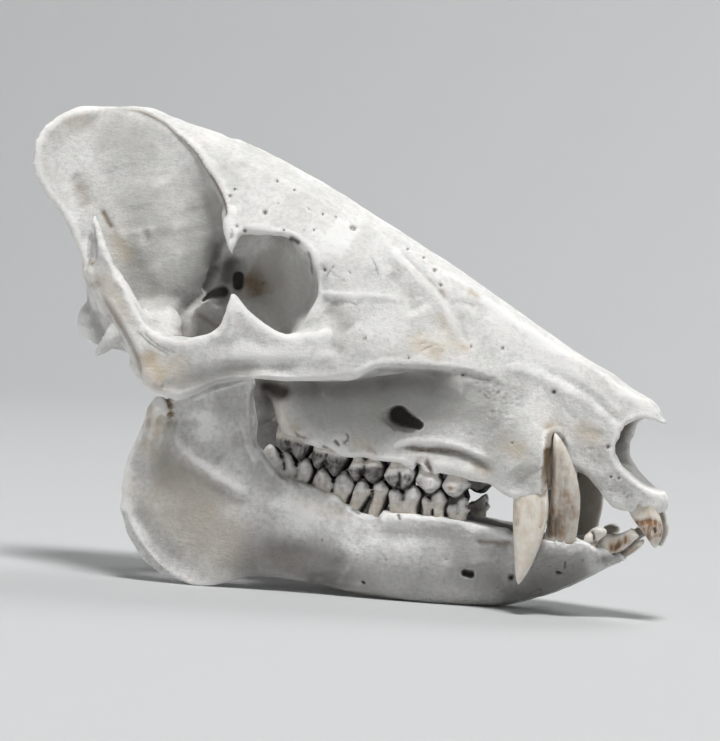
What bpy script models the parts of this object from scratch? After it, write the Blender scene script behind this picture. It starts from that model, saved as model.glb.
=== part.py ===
"""Skull of an adult javelina: cranium, mandible and thirty-six separate teeth.

The animal faces +X, its left side is +Y and +Z is up. Every point below is in millimetres in
the measuring frame, in which the snout dips as it does when the skull is seen in side view.
SNOUT_LIFT then turns the whole skull nose up until the chin and both jaw angles stand on z = 0.
Shapes are drawn for the left side only and mirrored across the plane y = 0.
"""
import math

import bmesh
import bpy
import numpy as np
from mathutils import Matrix, Vector

OBJECT_NAME = "javelina_skull"
MM = 0.001

# Driving dimensions, in millimetres and degrees
SNOUT_LIFT = 4.4
FLOOR_LEVEL = -79.6
MIDDLE_X = -2.8
VOXEL = 1.3
JOINT_GAP = 0.9
SOCKET_GAP = 0.35
TUSK_GAP = 0.7
BITE_GAP = 0.35
SHARP_ANGLE = 40
FLOOR_BLOCK = (300, 150, 40)

# How finely the two bones are drawn: triangles of each before it is mirrored, and how many
# rounds of smoothing it gets
CRANIUM_TRIANGLES = 2430
MANDIBLE_TRIANGLES = 860
CRANIUM_SMOOTHING = 6
MANDIBLE_SMOOTHING = 5

# Braincase, forehead and snout as half sections, one row for each x. The points of a row run
# from the middle of the roof, over the roof edge and down the side, to the middle of the base.
CORE = [
    (-101, [(0, 93), (4, 92.5), (7, 90), (8, 85), (9, 72), (10, 55), (10.5, 40), (10.5, 28),
            (10.5, 20), (10, 16), (9, 12), (5, 10), (0, 10)]),
    (-92, [(0, 97), (5, 96.8), (9.5, 95.3), (11.5, 91), (17, 76), (22, 58), (25, 42), (25, 30),
           (22, 20), (18, 14), (14, 10), (7, 8), (0, 8)]),
    (-76, [(0, 95.2), (6, 94.8), (12, 93), (13.5, 88.5), (18.5, 73), (24, 57), (27.5, 43),
           (28, 30), (25, 18), (20, 11), (15, 7), (8, 5), (0, 5)]),
    (-62, [(0, 90.9), (9, 89.7), (17.5, 84), (18.5, 79.5), (20.5, 68), (24, 55), (26.5, 43),
           (27, 30), (24, 18), (19, 10), (15, 6), (8, 4), (0, 4)]),
    (-52, [(0, 87.5), (12, 85), (22.5, 75.5), (22.5, 70.5), (21.5, 62), (22.5, 52), (23.5, 42),
           (23.5, 30), (21, 18), (17, 10), (13, 6), (8, 3), (0, 3)]),
    (-44, [(0, 83.5), (15, 80), (28.5, 65), (27, 60), (21.5, 58), (19.5, 50), (19.5, 40),
           (19, 28), (17.5, 17), (15, 9), (12, 4), (8, 0), (0, 1)]),
    (-37, [(0, 80.3), (17, 75.5), (35, 51), (32, 47.5), (22, 57), (16.5, 50), (16, 40),
           (15.5, 28), (14.8, 17), (13.5, 7), (12, 0), (9, -4), (0, -1)]),
    (-27, [(0, 75.3), (18, 70), (35.5, 49.5), (32.5, 48), (22, 56), (15.5, 48), (14.5, 38),
           (14.5, 26), (16, 12), (18, 0), (19, -12), (10, -12), (0, -6)]),
    (-22, [(0, 72.6), (17.8, 67.5), (35, 48.8), (32, 47.5), (23, 54), (16.5, 46), (15.5, 36),
           (15.5, 24), (18, 10), (22, -2), (24.3, -22.5), (12, -21), (0, -11)]),
    (-15, [(0, 68.7), (17, 63.5), (33.5, 46.5), (33.5, 45), (29, 42), (26, 37), (25, 30),
           (26, 22), (32, 12), (24, -2), (24.6, -25.5), (12.2, -24.5), (0, -13)]),
    (-10, [(0, 65.7), (16.5, 60.5), (33, 44), (34, 40), (33.5, 35), (33, 30), (34, 23),
           (36, 15), (37, 5), (24, -4), (24.6, -27.3), (12.2, -26.3), (0, -14)]),
    (-5, [(0, 62.7), (16, 58), (32, 41), (34, 34), (35, 28), (36.5, 20), (38.7, 9), (39.7, -2.5),
          (26, -5), (24.2, -15), (24.6, -29), (12.2, -28), (0, -15.5)]),
    (5, [(0, 56.3), (14.5, 52.5), (27, 42), (31, 34), (33.5, 26), (35.5, 17), (37.3, 8),
         (38, -1.8), (25.5, -5.5), (23.5, -15), (24.5, -32), (12.2, -31), (0, -18)]),
    (16, [(0, 49.6), (13.5, 46.5), (23.5, 38), (27, 30), (29.5, 22), (32, 13), (34, 6),
          (34.3, -0.8), (24, -6), (22, -16), (24, -34.3), (12.2, -33.5), (0, -21)]),
    (28, [(0, 41.3), (12, 39), (20, 31.5), (23, 24), (25.5, 16), (28, 9), (30, 3.5), (30, -1.2),
          (23.5, -7), (21.5, -18), (23, -35.8), (12.4, -35.5), (0, -24.5)]),
    (40, [(0, 32.8), (11, 31), (17, 25), (19.5, 18.5), (21.5, 11), (24, 4), (26, -1), (26, -5),
          (23, -10), (21.3, -19), (21.8, -38.3), (12.8, -38.3), (0, -27)]),
    (52, [(0, 24.2), (10.5, 23), (15, 18), (17.5, 11.5), (19, 4), (20.7, -2), (22, -7),
          (22.3, -12), (21.8, -18), (21.8, -27), (21, -39.5), (13, -39), (0, -30)]),
    (62, [(0, 17.3), (10, 16), (13.5, 12), (15.8, 5.5), (17.3, -1.5), (19, -8), (20.8, -14),
          (22.8, -20), (25, -27), (27.3, -35), (27.8, -44.5), (13, -42), (0, -32)]),
    (70, [(0, 11.8), (9.7, 10.8), (12.8, 7.3), (14.8, 1.5), (16.3, -5), (18, -11), (20, -16),
          (22.5, -21), (25.6, -27), (27.7, -34), (28.2, -44), (13, -41), (0, -32.5)]),
    (74.8, [(0, 8.3), (9.5, 7.5), (12.4, 4.5), (14, -1), (15.3, -7), (16.7, -12.5), (18.5, -17),
            (21, -21.5), (24.8, -27), (27, -34), (27.4, -43), (13, -40), (0, -32)]),
    (76.6, [(0, 7), (9.3, 6.3), (12, 3.3), (13.5, -2), (14.7, -8), (15.8, -13), (16.8, -17.5),
            (17.3, -21), (17.5, -25), (17.2, -29), (16.5, -34), (9, -34), (0, -31)]),
    (86, [(0, 1.2), (8.5, 0.8), (11, -1.5), (12.5, -6), (13.5, -11), (14.5, -16), (15.5, -21),
          (16, -25), (16.3, -29), (16.3, -32), (15.5, -36.5), (8, -36), (0, -33)]),
    (91, [(0, -1.7), (8, -2), (10.5, -4.3), (12.2, -8.5), (13.2, -13), (14.2, -18),
          (15, -23), (15.4, -27), (15.4, -32), (15, -36.5), (13.8, -43), (7, -43), (0, -38)]),
    (95, [(0, -4.3), (7.5, -4.7), (10, -7), (11.8, -11), (13, -15), (14, -20), (14.5, -25),
          (14.7, -29), (14.7, -34), (14.3, -39), (12.5, -47.5), (7, -48), (0, -44)]),
    (103, [(0, -8.8), (6.5, -9.2), (8.5, -11), (9.8, -14), (10.8, -18), (11.2, -23),
           (11.5, -28), (11.5, -33), (11.3, -38), (10.8, -43), (9.5, -49.5), (5, -50),
           (0, -47)]),
    (109.5, [(0, -12.3), (3.5, -12.6), (5, -14), (6.5, -17), (7.5, -21), (8, -25), (8.3, -30),
             (8.5, -35), (8.5, -40), (8.2, -43.5), (6.5, -50), (3, -50.5), (0, -49)]),
    (112.5, [(0, -14.5), (1.5, -14.8), (2.5, -16), (3.5, -18), (4, -22), (4.5, -26), (5, -30),
             (5.5, -35), (5.5, -40), (5, -43.5), (4.5, -48), (2, -49), (0, -48.5)]),
]

# Fan of the nuchal crest as half sections, one row of (x, y) for each z. The points run from
# the middle of the nape, out to the crest's edge and back along the temporal wall.
FAN = [
    (9, [(-97, 0), (-95, 7), (-90, 12), (-86, 16), (-82, 17), (-79, 17), (-76, 15), (-72, 0)]),
    (15, [(-99, 0), (-97, 10), (-92, 18), (-88, 24), (-84, 26), (-80, 27), (-76, 24), (-72, 0)]),
    (25, [(-100, 0), (-99, 12), (-95, 22), (-91, 28), (-87, 30), (-83, 30), (-76, 28),
          (-72, 0)]),
    (34, [(-100.5, 0), (-100, 12), (-96, 24), (-93.5, 29), (-90, 30), (-86, 30), (-78, 28),
          (-72, 0)]),
    (42, [(-101, 0), (-101, 12), (-98, 24), (-97.5, 27), (-95, 28), (-90, 28), (-80, 27),
          (-72, 0)]),
    (49, [(-102, 0), (-101.5, 12), (-100.8, 23.4), (-101, 26), (-98.4, 26.4), (-93, 26),
          (-82, 25), (-72, 0)]),
    (56, [(-103, 0), (-103, 12), (-104.2, 23.6), (-105.5, 26), (-102, 26.2), (-96, 24.6),
          (-84, 23), (-72, 0)]),
    (63, [(-104, 0), (-105, 12), (-109.8, 24.6), (-111.3, 27.2), (-107.6, 27.2), (-100, 22.8),
          (-86, 21), (-72, 0)]),
    (72, [(-105.5, 0), (-107, 12), (-113.9, 25.6), (-115.6, 28.2), (-111.8, 28), (-102, 20.8),
          (-86, 18), (-72, 0)]),
    (79, [(-106.5, 0), (-108, 12), (-114.6, 25.4), (-116.3, 28), (-112.4, 27.5),
          (-102, 18.8), (-86, 15), (-74, 0)]),
    (85, [(-107.5, 0), (-108.3, 11), (-113.2, 23.6), (-114.7, 26.4), (-110.9, 25.6),
          (-101, 16.7), (-86, 13), (-74, 0)]),
    (90, [(-108, 0), (-109, 10), (-110.9, 20.2), (-111.9, 22.8), (-108.2, 22), (-99, 13.8),
          (-86, 11), (-74, 0)]),
    (94, [(-107, 0), (-107.6, 8), (-107.2, 14.6), (-106, 17.6), (-102.8, 16.6), (-95, 10.8),
          (-84, 9), (-76, 0)]),
    (96.5, [(-104, 0), (-104.5, 6), (-104, 10), (-101.5, 13), (-98, 11.5), (-92, 8), (-84, 7),
            (-80, 0)]),
]

# Cheek arch seen from the side: lower rim of the orbit, jugal spike, squamosal spike, and back
# along the hind edge and the lower edge.
ARCH = [
    (0, 14), (-10, 14), (-14, 12), (-18, 13), (-22, 15.5), (-28, 20), (-31, 24), (-34.5, 28.5),
    (-36, 20), (-39, 14.5), (-43, 12), (-50, 11), (-58, 12), (-64, 16), (-69, 22), (-74, 30),
    (-80, 38), (-84, 46), (-88.5, 58), (-90, 48), (-90.5, 41), (-91.5, 35), (-88, 29),
    (-82, 21), (-77, 14), (-72, 7), (-68, 0), (-66, -6), (-60, -8), (-53, -11), (-48, -9),
    (-39, -4.5), (-27, -3), (-15, -3.5), (-3, -3.5), (6, -2),
]
# Outer face of the cheek arch seen from above, as (x, y), and its thickness, as (x, width)
ARCH_OUTER = [(-92, 36), (-88, 38), (-80, 42), (-72, 46), (-66, 48.5), (-60, 50), (-53, 50),
              (-45, 49), (-36, 46.5), (-27, 45), (-15, 42.5), (-3, 40.3), (6, 38)]
ARCH_WIDTH = [(-92, 3), (-80, 4.5), (-68, 8), (-56, 9), (-45, 6), (-30, 5.5), (-15, 7), (6, 9)]

# Root of the squamosal from the braincase out to the arch, as (y, x, z, half x, half z)
SQUAMOSAL_ROOT = [(16, -70, 17, 16, 13), (27, -69, 15, 12.5, 11), (35, -66, 10.5, 10, 10),
                  (42, -63, 5.5, 7, 9.5), (46.5, -61.5, 4, 5, 8.5)]
ROOT_SQUARENESS = 0.7

# Smaller outgrowths of the cranium: bent cones as for the front teeth, balls as (centre, radii)
POSTORBITAL = [((-41, 22, 62), 3, 3), ((-38.5, 31, 55), 4.5, 3.5), ((-36.5, 36.5, 47), 3, 2.4),
               ((-36, 38.5, 40.5), 1, 1)]
PAROCCIPITAL = [((-79, 24, 17), 6, 5), ((-84.5, 27.5, 12), 4, 2.6), ((-89, 28.5, 7), 2.2, 1.6),
                ((-91.5, 28.5, 3.5), 0.7, 0.7)]
OCCIPITAL_CONDYLE = ((-96.5, 13.5, 18), (6.5, 8.5, 7.5))
BULLA = ((-72, 19, 3), (9, 7, 8))
PTERYGOID = ((-34, 11.5, -9), (9, 2.4, 11))

# Openings of the cranium
APERTURE_EDGE = [(125, -17.5), (109, -17.5), (104, -16.5), (101, -17), (98.5, -20), (96, -25),
                 (96, -29), (97.5, -33), (100.5, -37), (105, -41), (111, -43.5), (125, -43.5)]
NASAL_CAVITY = [((122, 0, -31), 10.5, 12.5), ((104, 0, -27.5), 9.3, 12.5),
                ((92, 0, -23), 10.5, 12.5), ((75, 0, -13), 10, 13), ((55, 0, -2), 8, 11),
                ((42, 0, 4), 4, 5)]
ORBIT = ((-21, 40, 30), (16, 24, 17.5))
EYE_RECESS = ((-44, 19, 32), (6, 8, 10), 33)
FORAMEN_MAGNUM = [((-112, 0, 19), 8.5, 8.5), ((-90, 0, 21), 8.5, 8.5), ((-76, 0, 25), 6, 6)]
CHOANA = ((-26, 0, -9), (20, 8, 7))
INFRAORBITAL = ((21, 21.5, -17.5), (7.5, 5, 4), 20)

# Side view of the ramus of the mandible, from the back of the condyle round the jaw angle
RAMUS = [
    (-66, -11), (-67.5, -17), (-71, -24), (-75, -32), (-77, -41), (-77, -50), (-75, -58),
    (-70, -66), (-63, -72), (-55, -75.5), (-47, -77), (-41, -76), (-35, -73.5), (-27, -73),
    (-16, -74.3), (-8, -74), (-8, -50), (-14, -42), (-22, -36), (-27, -31), (-29, -26),
    (-28.5, -18), (-29, -10), (-30, -2), (-33, 5), (-37, 6), (-42, 1), (-47, -5), (-54, -9),
    (-60, -10.5),
]
RAMUS_OUTER = [(-78, 41), (-66, 40), (-55, 38.5), (-45, 36.5), (-35, 33), (-28, 30.5),
               (-20, 28), (-12, 26), (-8, 24)]
RAMUS_WIDTH = [(-78, 5), (-60, 5), (-40, 5.5), (-28, 8), (-8, 9)]
CONDYLE = ((-60, 40, -14), (5, 8.5, 4.8))
CONDYLE_NECK = [((-62, 41, -16), 5, 6), ((-66, 39.5, -28), 6, 3), ((-66, 38.5, -40), 5, 2)]

# Outward lean of the ramus at its top, the level where it starts, how it gathers, and the share
# of it at each x
RAMUS_LEAN = 5.5
LEAN_START = -38
LEAN_POWER = 1.4
LEAN_SHARE = [(-60, 0.9), (-30, 1.0), (-8, 0.0)]

# Tooth-bearing body of one side of the mandible, as rings of (y, z) for each x
BODY = [
    (-42, [(31, -42), (33, -42), (33.5, -50), (33.5, -60), (33.5, -70), (31.5, -71),
           (31, -60), (31, -50)]),
    (-34, [(26, -39), (29, -38.5), (31, -49), (31.5, -60), (31, -71), (28.5, -72), (26.5, -60),
           (26, -49)]),
    (-26, [(20, -35.5), (27, -34.5), (28.5, -45), (29.5, -58), (29, -71.5), (25, -72.5),
           (21.5, -58), (20, -46)]),
    (-12, [(14, -40), (24, -40.5), (26, -48), (27, -60), (26, -72), (21.5, -75.5), (16.5, -62),
           (14, -50)]),
    (3, [(12.5, -44.5), (22.5, -46), (25, -54), (25.5, -64), (23.5, -76), (18.5, -79),
         (13, -66), (12, -54)]),
    (18, [(11.5, -49.5), (21, -50.5), (23.5, -57), (23.5, -67), (20, -79.5), (15, -81.5),
          (9.5, -68), (10.5, -58)]),
    (32, [(10.5, -51), (19.5, -51.5), (21, -57.5), (20.5, -68), (15, -82), (10, -83.5),
          (5, -70), (8.5, -58)]),
    (45, [(9.5, -53), (18, -53.2), (18.5, -59), (17.5, -69), (10.5, -82.5), (4, -84),
          (0, -72), (6.5, -60)]),
    (58, [(9, -56.5), (17.3, -56.5), (18, -60.5), (15.5, -69), (7, -81), (1, -82.5), (1, -72),
          (5, -61)]),
]

# Fused front of the mandible as half sections, top middle to bottom middle
SYMPHYSIS = [
    (40, [(0, -69), (4, -68), (8.5, -57), (13, -54.5), (17.5, -55.5), (18.3, -62), (16.5, -72),
          (9, -83), (0, -82)]),
    (50, [(0, -64), (5, -63.5), (8.5, -57.5), (13, -56), (17.3, -57), (17.8, -62), (14.5, -72),
          (7.5, -82.3), (0, -84)]),
    (60, [(0, -63.5), (5, -63), (8.5, -58.5), (13, -57), (17.5, -57.5), (18, -62), (13.5, -71),
          (6, -80.5), (0, -82.3)]),
    (70, [(0, -63), (5, -62.5), (9, -60), (13.5, -59), (20, -59.3), (21.8, -63), (16.5, -70.5),
          (6, -78), (0, -79.3)]),
    (80, [(0, -62), (5, -61.5), (9, -59.5), (13.5, -58.5), (20, -59), (21.6, -62.5),
          (15.5, -69), (5.5, -74), (0, -75.3)]),
    (88, [(0, -61.5), (4, -61.2), (7, -60.5), (10, -60.3), (14, -61), (14.5, -63.2), (10, -67),
          (4, -70), (0, -71)]),
    (94, [(0, -63), (3, -63), (5, -63), (7, -63.2), (8.5, -63.6), (8.5, -64.8), (6.5, -66.3),
          (3, -67.5), (0, -68)]),
    (98, [(0, -64), (1.5, -64), (2.5, -64), (3.5, -64.1), (4, -64.4), (4, -65.1), (3, -65.8),
          (1.5, -66.2), (0, -66.4)]),
]

# Line on which upper and lower cheek teeth meet, as (x, z): cusps alternate along it
BITE = [(-40, -22), (-31, -24.5), (-27, -26), (-24, -29.5), (-20.5, -28.3), (-17, -32.2),
        (-13.8, -30.5), (-10.2, -34.8), (-7.4, -33.8), (-3, -37.3), (-0.3, -35.7), (4.6, -39.2),
        (7, -38.2), (10.9, -39.9), (13.4, -38.6), (17.6, -41), (19.5, -40.6), (22, -41.4),
        (25.2, -39.9), (30.5, -43.3), (34.2, -41.8), (39.8, -44.8), (42.6, -44), (50, -47)]

# Cheek teeth: name, start and end along x, middle y, width across, gum height, root length
UPPER_CHEEK = [
    ("molar_3", -25.5, -11.6, 17.8, 11, -22.5, 8),
    ("molar_2", -11.2, 1.0, 17.8, 11.5, -27.5, 8),
    ("molar_1", 1.4, 14.0, 17.6, 11.5, -32, 8),
    ("premolar_4", 14.4, 25.4, 17.3, 10.5, -34, 7.5),
    ("premolar_3", 25.8, 35.2, 17, 9, -35.5, 7),
    ("premolar_2", 35.6, 45.0, 17, 7.5, -38.5, 6.5),
]
LOWER_CHEEK = [
    ("molar_3", -31.5, -13.2, 16.5, 9, -38, 8),
    ("molar_2", -12.8, 1.6, 16.3, 9.3, -43, 9),
    ("molar_1", 2.0, 14.6, 16, 9.3, -48, 9),
    ("premolar_4", 15.0, 26.2, 15.5, 8.8, -50.5, 9),
    ("premolar_3", 26.6, 36.0, 15, 7.5, -51.5, 8),
    ("premolar_2", 36.4, 44.8, 14.5, 6.5, -54, 7),
]

# Shape of a cheek tooth: its share of the full width at the root end, at the neck and beyond
# the bite, how far down the crown it is widest, and how far it runs on before it is trimmed
ROOT_SHARE = 0.52
NECK_SHARE = 0.78
TOP_SHARE = 0.82
WIDEST_LEVEL = 0.45
BEYOND_BITE = 6
TOOTH_SIDES = 8

# Half width of a plate before it is bent, and of one that cuts right through the skull; how far
# down and up the blocks reach that trim the upper and the lower teeth
PLATE_HALF = 5.0
CUT_HALF = 40.0
UPPER_TRIM = -70
LOWER_TRIM = 10

# Front teeth as a bent cone: (point, half depth along x, half width across) from root to tip
TUSKS = {
    "upper_canine": [((68, 21.3, -32), 5, 3.4), ((69, 22.4, -41), 6.2, 4),
                     ((69.5, 24.6, -51), 6.3, 4), ((68.2, 26.6, -60), 4.5, 3.1),
                     ((66.8, 27.5, -67.5), 2.4, 1.9), ((65.6, 28, -74), 0.5, 0.5)],
    "lower_canine": [((74, 12, -69.5), 3.6, 2.4), ((77, 14.8, -64), 4.7, 3.1),
                     ((78.6, 17.4, -57), 5, 3.7), ((79.6, 19.4, -49), 5.2, 3.8),
                     ((80, 20.2, -41), 4.9, 3.4),
                     ((78.9, 20.4, -32), 3.7, 2.7), ((77.3, 20, -25.5), 1.9, 1.5),
                     ((76, 19.6, -21.5), 0.4, 0.4)],
    "upper_incisor": [((97, 5.5, -38), 2.6, 2.4), ((101, 5.8, -44), 3.4, 3),
                      ((104.3, 5.8, -50), 4, 3.4), ((107, 5.2, -56), 3.6, 3.2),
                      ((109, 4.4, -60.5), 2, 2.3), ((109.8, 4, -63), 0.6, 0.8)],
    "lower_incisor_3": [((83, 10.2, -67), 1.8, 1.6), ((86, 11, -62), 2.4, 2),
                        ((89, 11.4, -57.5), 3, 2.5), ((90.5, 11.3, -55), 1.6, 1.5)],
    "lower_incisor_2": [((79, 6, -67.5), 2, 1.5), ((87, 6, -64.6), 2.8, 1.9),
                        ((95, 6, -61), 3, 1.9), ((101.5, 5.7, -57), 1.2, 1.4)],
    "lower_incisor_1": [((81, 2.1, -68.8), 1.6, 1.4), ((89, 2.1, -66.8), 2, 1.6),
                        ((97, 2.1, -63.2), 2.2, 1.6), ((103.5, 2.1, -59), 0.8, 1.3)],
}

BONE = (0.80, 0.77, 0.70)
JAW_BONE = (0.76, 0.73, 0.67)
ENAMEL = (0.60, 0.56, 0.50)
IVORY = (0.83, 0.78, 0.66)


def clear_scene():
    """Empty the file, so that only this model is in it."""
    for obj in list(bpy.data.objects):
        bpy.data.objects.remove(obj, do_unlink=True)


def new_collection(name):
    """A collection linked to the scene."""
    collection = bpy.data.collections.new(name)
    bpy.context.scene.collection.children.link(collection)
    return collection


def new_material(name, colour, roughness):
    """A plain material with a colour and a roughness."""
    material = bpy.data.materials.new(name)
    material.use_nodes = True
    shader = material.node_tree.nodes["Principled BSDF"]
    shader.inputs["Base Color"].default_value = (*colour, 1.0)
    shader.inputs["Roughness"].default_value = roughness
    shader.inputs["Metallic"].default_value = 0.0
    return material


def through(places, values, at):
    """Values of the smooth curve through the given values, without overshoot between them."""
    places = np.asarray(places, float)
    values = np.asarray(values, float)
    at = np.clip(np.asarray(at, float), places[0], places[-1])
    step = np.diff(places)
    slope = np.diff(values, axis=0) / step.reshape((-1,) + (1,) * (values.ndim - 1))
    tangent = np.zeros_like(values)
    before, after = slope[:-1], slope[1:]
    same_way = before * after > 0
    total = np.where(same_way, before + after, 1.0)
    tangent[1:-1] = np.where(same_way, 2 * before * after / total, 0.0)
    tangent[0], tangent[-1] = slope[0], slope[-1]
    span = np.clip(np.searchsorted(places, at, side="right") - 1, 0, len(places) - 2)
    shape = (-1,) + (1,) * (values.ndim - 1)
    length = step[span].reshape(shape)
    t = ((at - places[span]) / step[span]).reshape(shape)
    start = (1 + 2 * t) * (1 - t) ** 2 * values[span] + t * (1 - t) ** 2 * length * tangent[span]
    end = t * t * (3 - 2 * t) * values[span + 1] - t * t * (1 - t) * length * tangent[span + 1]
    return start + end


def along(row, steps):
    """A row of points made finer, with the given number of steps in each span."""
    row = np.asarray(row, float)
    places = np.arange(len(row))
    return through(places, row, np.linspace(0, len(row) - 1, (len(row) - 1) * steps + 1))


def mesh_object(name, points, faces):
    """An object from points in millimetres and faces, with the faces turned outwards."""
    mesh = bpy.data.meshes.new(name)
    mesh.from_pydata([tuple(point) for point in points], [], faces)
    work = bmesh.new()
    work.from_mesh(mesh)
    bmesh.ops.recalc_face_normals(work, faces=work.faces)
    work.to_mesh(mesh)
    work.free()
    obj = bpy.data.objects.new(name, mesh)
    bpy.context.scene.collection.objects.link(obj)
    return obj


def skin(name, rings):
    """A closed surface over a row of rings that all have the same number of points."""
    rings = [np.asarray(ring, float) for ring in rings]
    count = len(rings[0])
    faces = [tuple(reversed(range(count)))]
    for k in range(len(rings) - 1):
        for i in range(count):
            j = (i + 1) % count
            faces.append((k * count + i, k * count + j, (k + 1) * count + j, (k + 1) * count + i))
    last = (len(rings) - 1) * count
    faces.append(tuple(range(last, last + count)))
    return mesh_object(name, np.concatenate(rings), faces)


def half_section_loft(name, rows, axis, steps=3, around=3):
    """A loft through half sections, each made whole by its mirror image across y = 0."""
    places = [row[0] for row in rows]
    halves = np.array([along(row[1], around) for row in rows])
    finer = np.interp(np.arange((len(rows) - 1) * steps + 1) / steps, range(len(rows)), places)
    rings = []
    for place, half in zip(finer, through(places, halves, finer)):
        if axis == "x":
            ring = np.column_stack([np.full(len(half), place), half])
        else:
            ring = np.column_stack([half, np.full(len(half), place)])
        other = ring[-2:0:-1] * (1, -1, 1)
        rings.append(np.concatenate([ring, other]))
    return skin(name, rings)


def ring_loft(name, rows, steps=3, around=3):
    """A loft through whole rings of (y, z), one for each x."""
    places = [row[0] for row in rows]
    rings = np.array([along(row[1] + row[1][:1], around)[:-1] for row in rows])
    finer = np.interp(np.arange((len(rows) - 1) * steps + 1) / steps, range(len(rows)), places)
    finer_rings = through(places, rings, finer)
    return skin(name, [np.column_stack([np.full(len(ring), x), ring])
                       for x, ring in zip(finer, finer_rings)])


def horn(name, stations, sides=8, grow=0.0, steps=1):
    """A bent cone through (point, half depth, half width), each ring square to its path."""
    points = along([station[0] for station in stations], steps)
    sizes = along([station[1:] for station in stations], steps) + grow
    rings = []
    for k, (point, (depth, width)) in enumerate(zip(points, sizes)):
        ahead = points[min(k + 1, len(points) - 1)] - points[max(k - 1, 0)]
        ahead = Vector(ahead).normalized()
        if k in (0, len(points) - 1):
            point = Vector(point) + ahead * (grow if k else -grow)
        side = Vector((0, 1, 0))
        side = (side - ahead * side.dot(ahead)).normalized()
        front = side.cross(ahead)
        angles = [2 * math.pi * i / sides for i in range(sides)]
        rings.append([Vector(point) + front * depth * math.cos(a) + side * width * math.sin(a)
                      for a in angles])
    return skin(name, rings)


def ball(name, centre, radii, tilt=0.0, segments=24):
    """A sphere stretched to three radii and tilted in side view."""
    work = bmesh.new()
    place = Matrix.Translation(centre) @ Matrix.Rotation(math.radians(tilt), 4, "Y")
    bmesh.ops.create_uvsphere(work, u_segments=segments, v_segments=segments // 2, radius=1.0,
                              matrix=place @ Matrix.Diagonal((*radii, 1.0)))
    mesh = bpy.data.meshes.new(name)
    work.to_mesh(mesh)
    work.free()
    obj = bpy.data.objects.new(name, mesh)
    bpy.context.scene.collection.objects.link(obj)
    return obj


def plate(name, outline, half_width):
    """A flat plate with a side-view outline, made as a filled 2D curve and turned upright."""
    curve = bpy.data.curves.new(name, "CURVE")
    curve.dimensions = "2D"
    curve.fill_mode = "BOTH"
    curve.extrude = half_width
    spline = curve.splines.new("POLY")
    spline.points.add(len(outline) - 1)
    for point, (x, z) in zip(spline.points, outline):
        point.co = (x, z, 0, 1)
    spline.use_cyclic_u = True
    drawn = bpy.data.objects.new(name + "_outline", curve)
    bpy.context.scene.collection.objects.link(drawn)
    bpy.context.view_layer.update()
    graph = bpy.context.evaluated_depsgraph_get()
    mesh = bpy.data.meshes.new_from_object(drawn.evaluated_get(graph))
    bpy.data.objects.remove(drawn, do_unlink=True)
    work = bmesh.new()
    work.from_mesh(mesh)
    bmesh.ops.remove_doubles(work, verts=work.verts, dist=0.0001)
    bmesh.ops.rotate(work, verts=work.verts, cent=(0, 0, 0),
                     matrix=Matrix.Rotation(math.radians(90), 3, "X"))
    bmesh.ops.recalc_face_normals(work, faces=work.faces)
    work.to_mesh(mesh)
    work.free()
    obj = bpy.data.objects.new(name, mesh)
    bpy.context.scene.collection.objects.link(obj)
    return obj


def apply_modifiers(obj):
    """Replace an object's mesh by what its modifiers make of it."""
    bpy.context.view_layer.update()
    graph = bpy.context.evaluated_depsgraph_get()
    mesh = bpy.data.meshes.new_from_object(obj.evaluated_get(graph))
    obj.modifiers.clear()
    obj.data = mesh


def remesh(obj, voxel):
    """Rebuild a mesh as one even skin over everything it holds."""
    modifier = obj.modifiers.new("Remesh", "REMESH")
    modifier.mode = "VOXEL"
    modifier.voxel_size = voxel
    apply_modifiers(obj)


def curved_plate(name, outline, outer, width, lift=None):
    """A plate bent so that its outer face follows a line seen from above."""
    obj = plate(name, outline, PLATE_HALF)
    remesh(obj, VOXEL)
    for vertex in obj.data.vertices:
        x, across, z = vertex.co
        thick = np.interp(x, *zip(*width))
        outside = np.interp(x, *zip(*outer))
        if lift:
            outside += lift(x, z)
        vertex.co.y = outside + (across / PLATE_HALF - 1) * thick / 2
    return obj


def join(name, parts):
    """Several meshes as one object, overlapping where they overlap."""
    work = bmesh.new()
    for part in parts:
        work.from_mesh(part.data)
        bpy.data.objects.remove(part, do_unlink=True)
    mesh = bpy.data.meshes.new(name)
    work.to_mesh(mesh)
    work.free()
    obj = bpy.data.objects.new(name, mesh)
    bpy.context.scene.collection.objects.link(obj)
    return obj


def mirrored(part):
    """The mirror image of a part across y = 0."""
    copy = bpy.data.objects.new(part.name + "_mirrored", part.data.copy())
    bpy.context.scene.collection.objects.link(copy)
    copy.data.transform(Matrix.Diagonal((1, -1, 1, 1)))
    copy.data.flip_normals()
    return copy


def relax(obj, rounds, strength=0.5, spring=0.53):
    """Smooth a mesh without shrinking it, by steps forward and back."""
    mesh = obj.data
    edges = np.empty(len(mesh.edges) * 2, int)
    mesh.edges.foreach_get("vertices", edges)
    first, second = edges.reshape(-1, 2).T
    places = np.empty(len(mesh.vertices) * 3)
    mesh.vertices.foreach_get("co", places)
    places = places.reshape(-1, 3)
    count = np.bincount(edges, minlength=len(places))[:, None]
    for _ in range(rounds):
        for factor in (strength, -spring):
            total = np.zeros_like(places)
            for k in range(3):
                total[:, k] = np.bincount(first, places[second, k], len(places))
                total[:, k] += np.bincount(second, places[first, k], len(places))
            places = places + factor * (total / count - places)
    mesh.vertices.foreach_set("co", places.ravel())
    mesh.update()


def carve(obj, cutters, holder):
    """Take the cutters away from a solid, all at once."""
    cutter = join(obj.name + "_cutter", cutters)
    bpy.context.scene.collection.objects.unlink(cutter)
    holder.objects.link(cutter)
    cutter.hide_render = True
    cutter.display_type = "WIRE"
    modifier = obj.modifiers.new("Openings", "BOOLEAN")
    modifier.operation = "DIFFERENCE"
    modifier.solver = "EXACT"
    modifier.use_self = True
    modifier.object = cutter
    apply_modifiers(obj)


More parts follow.
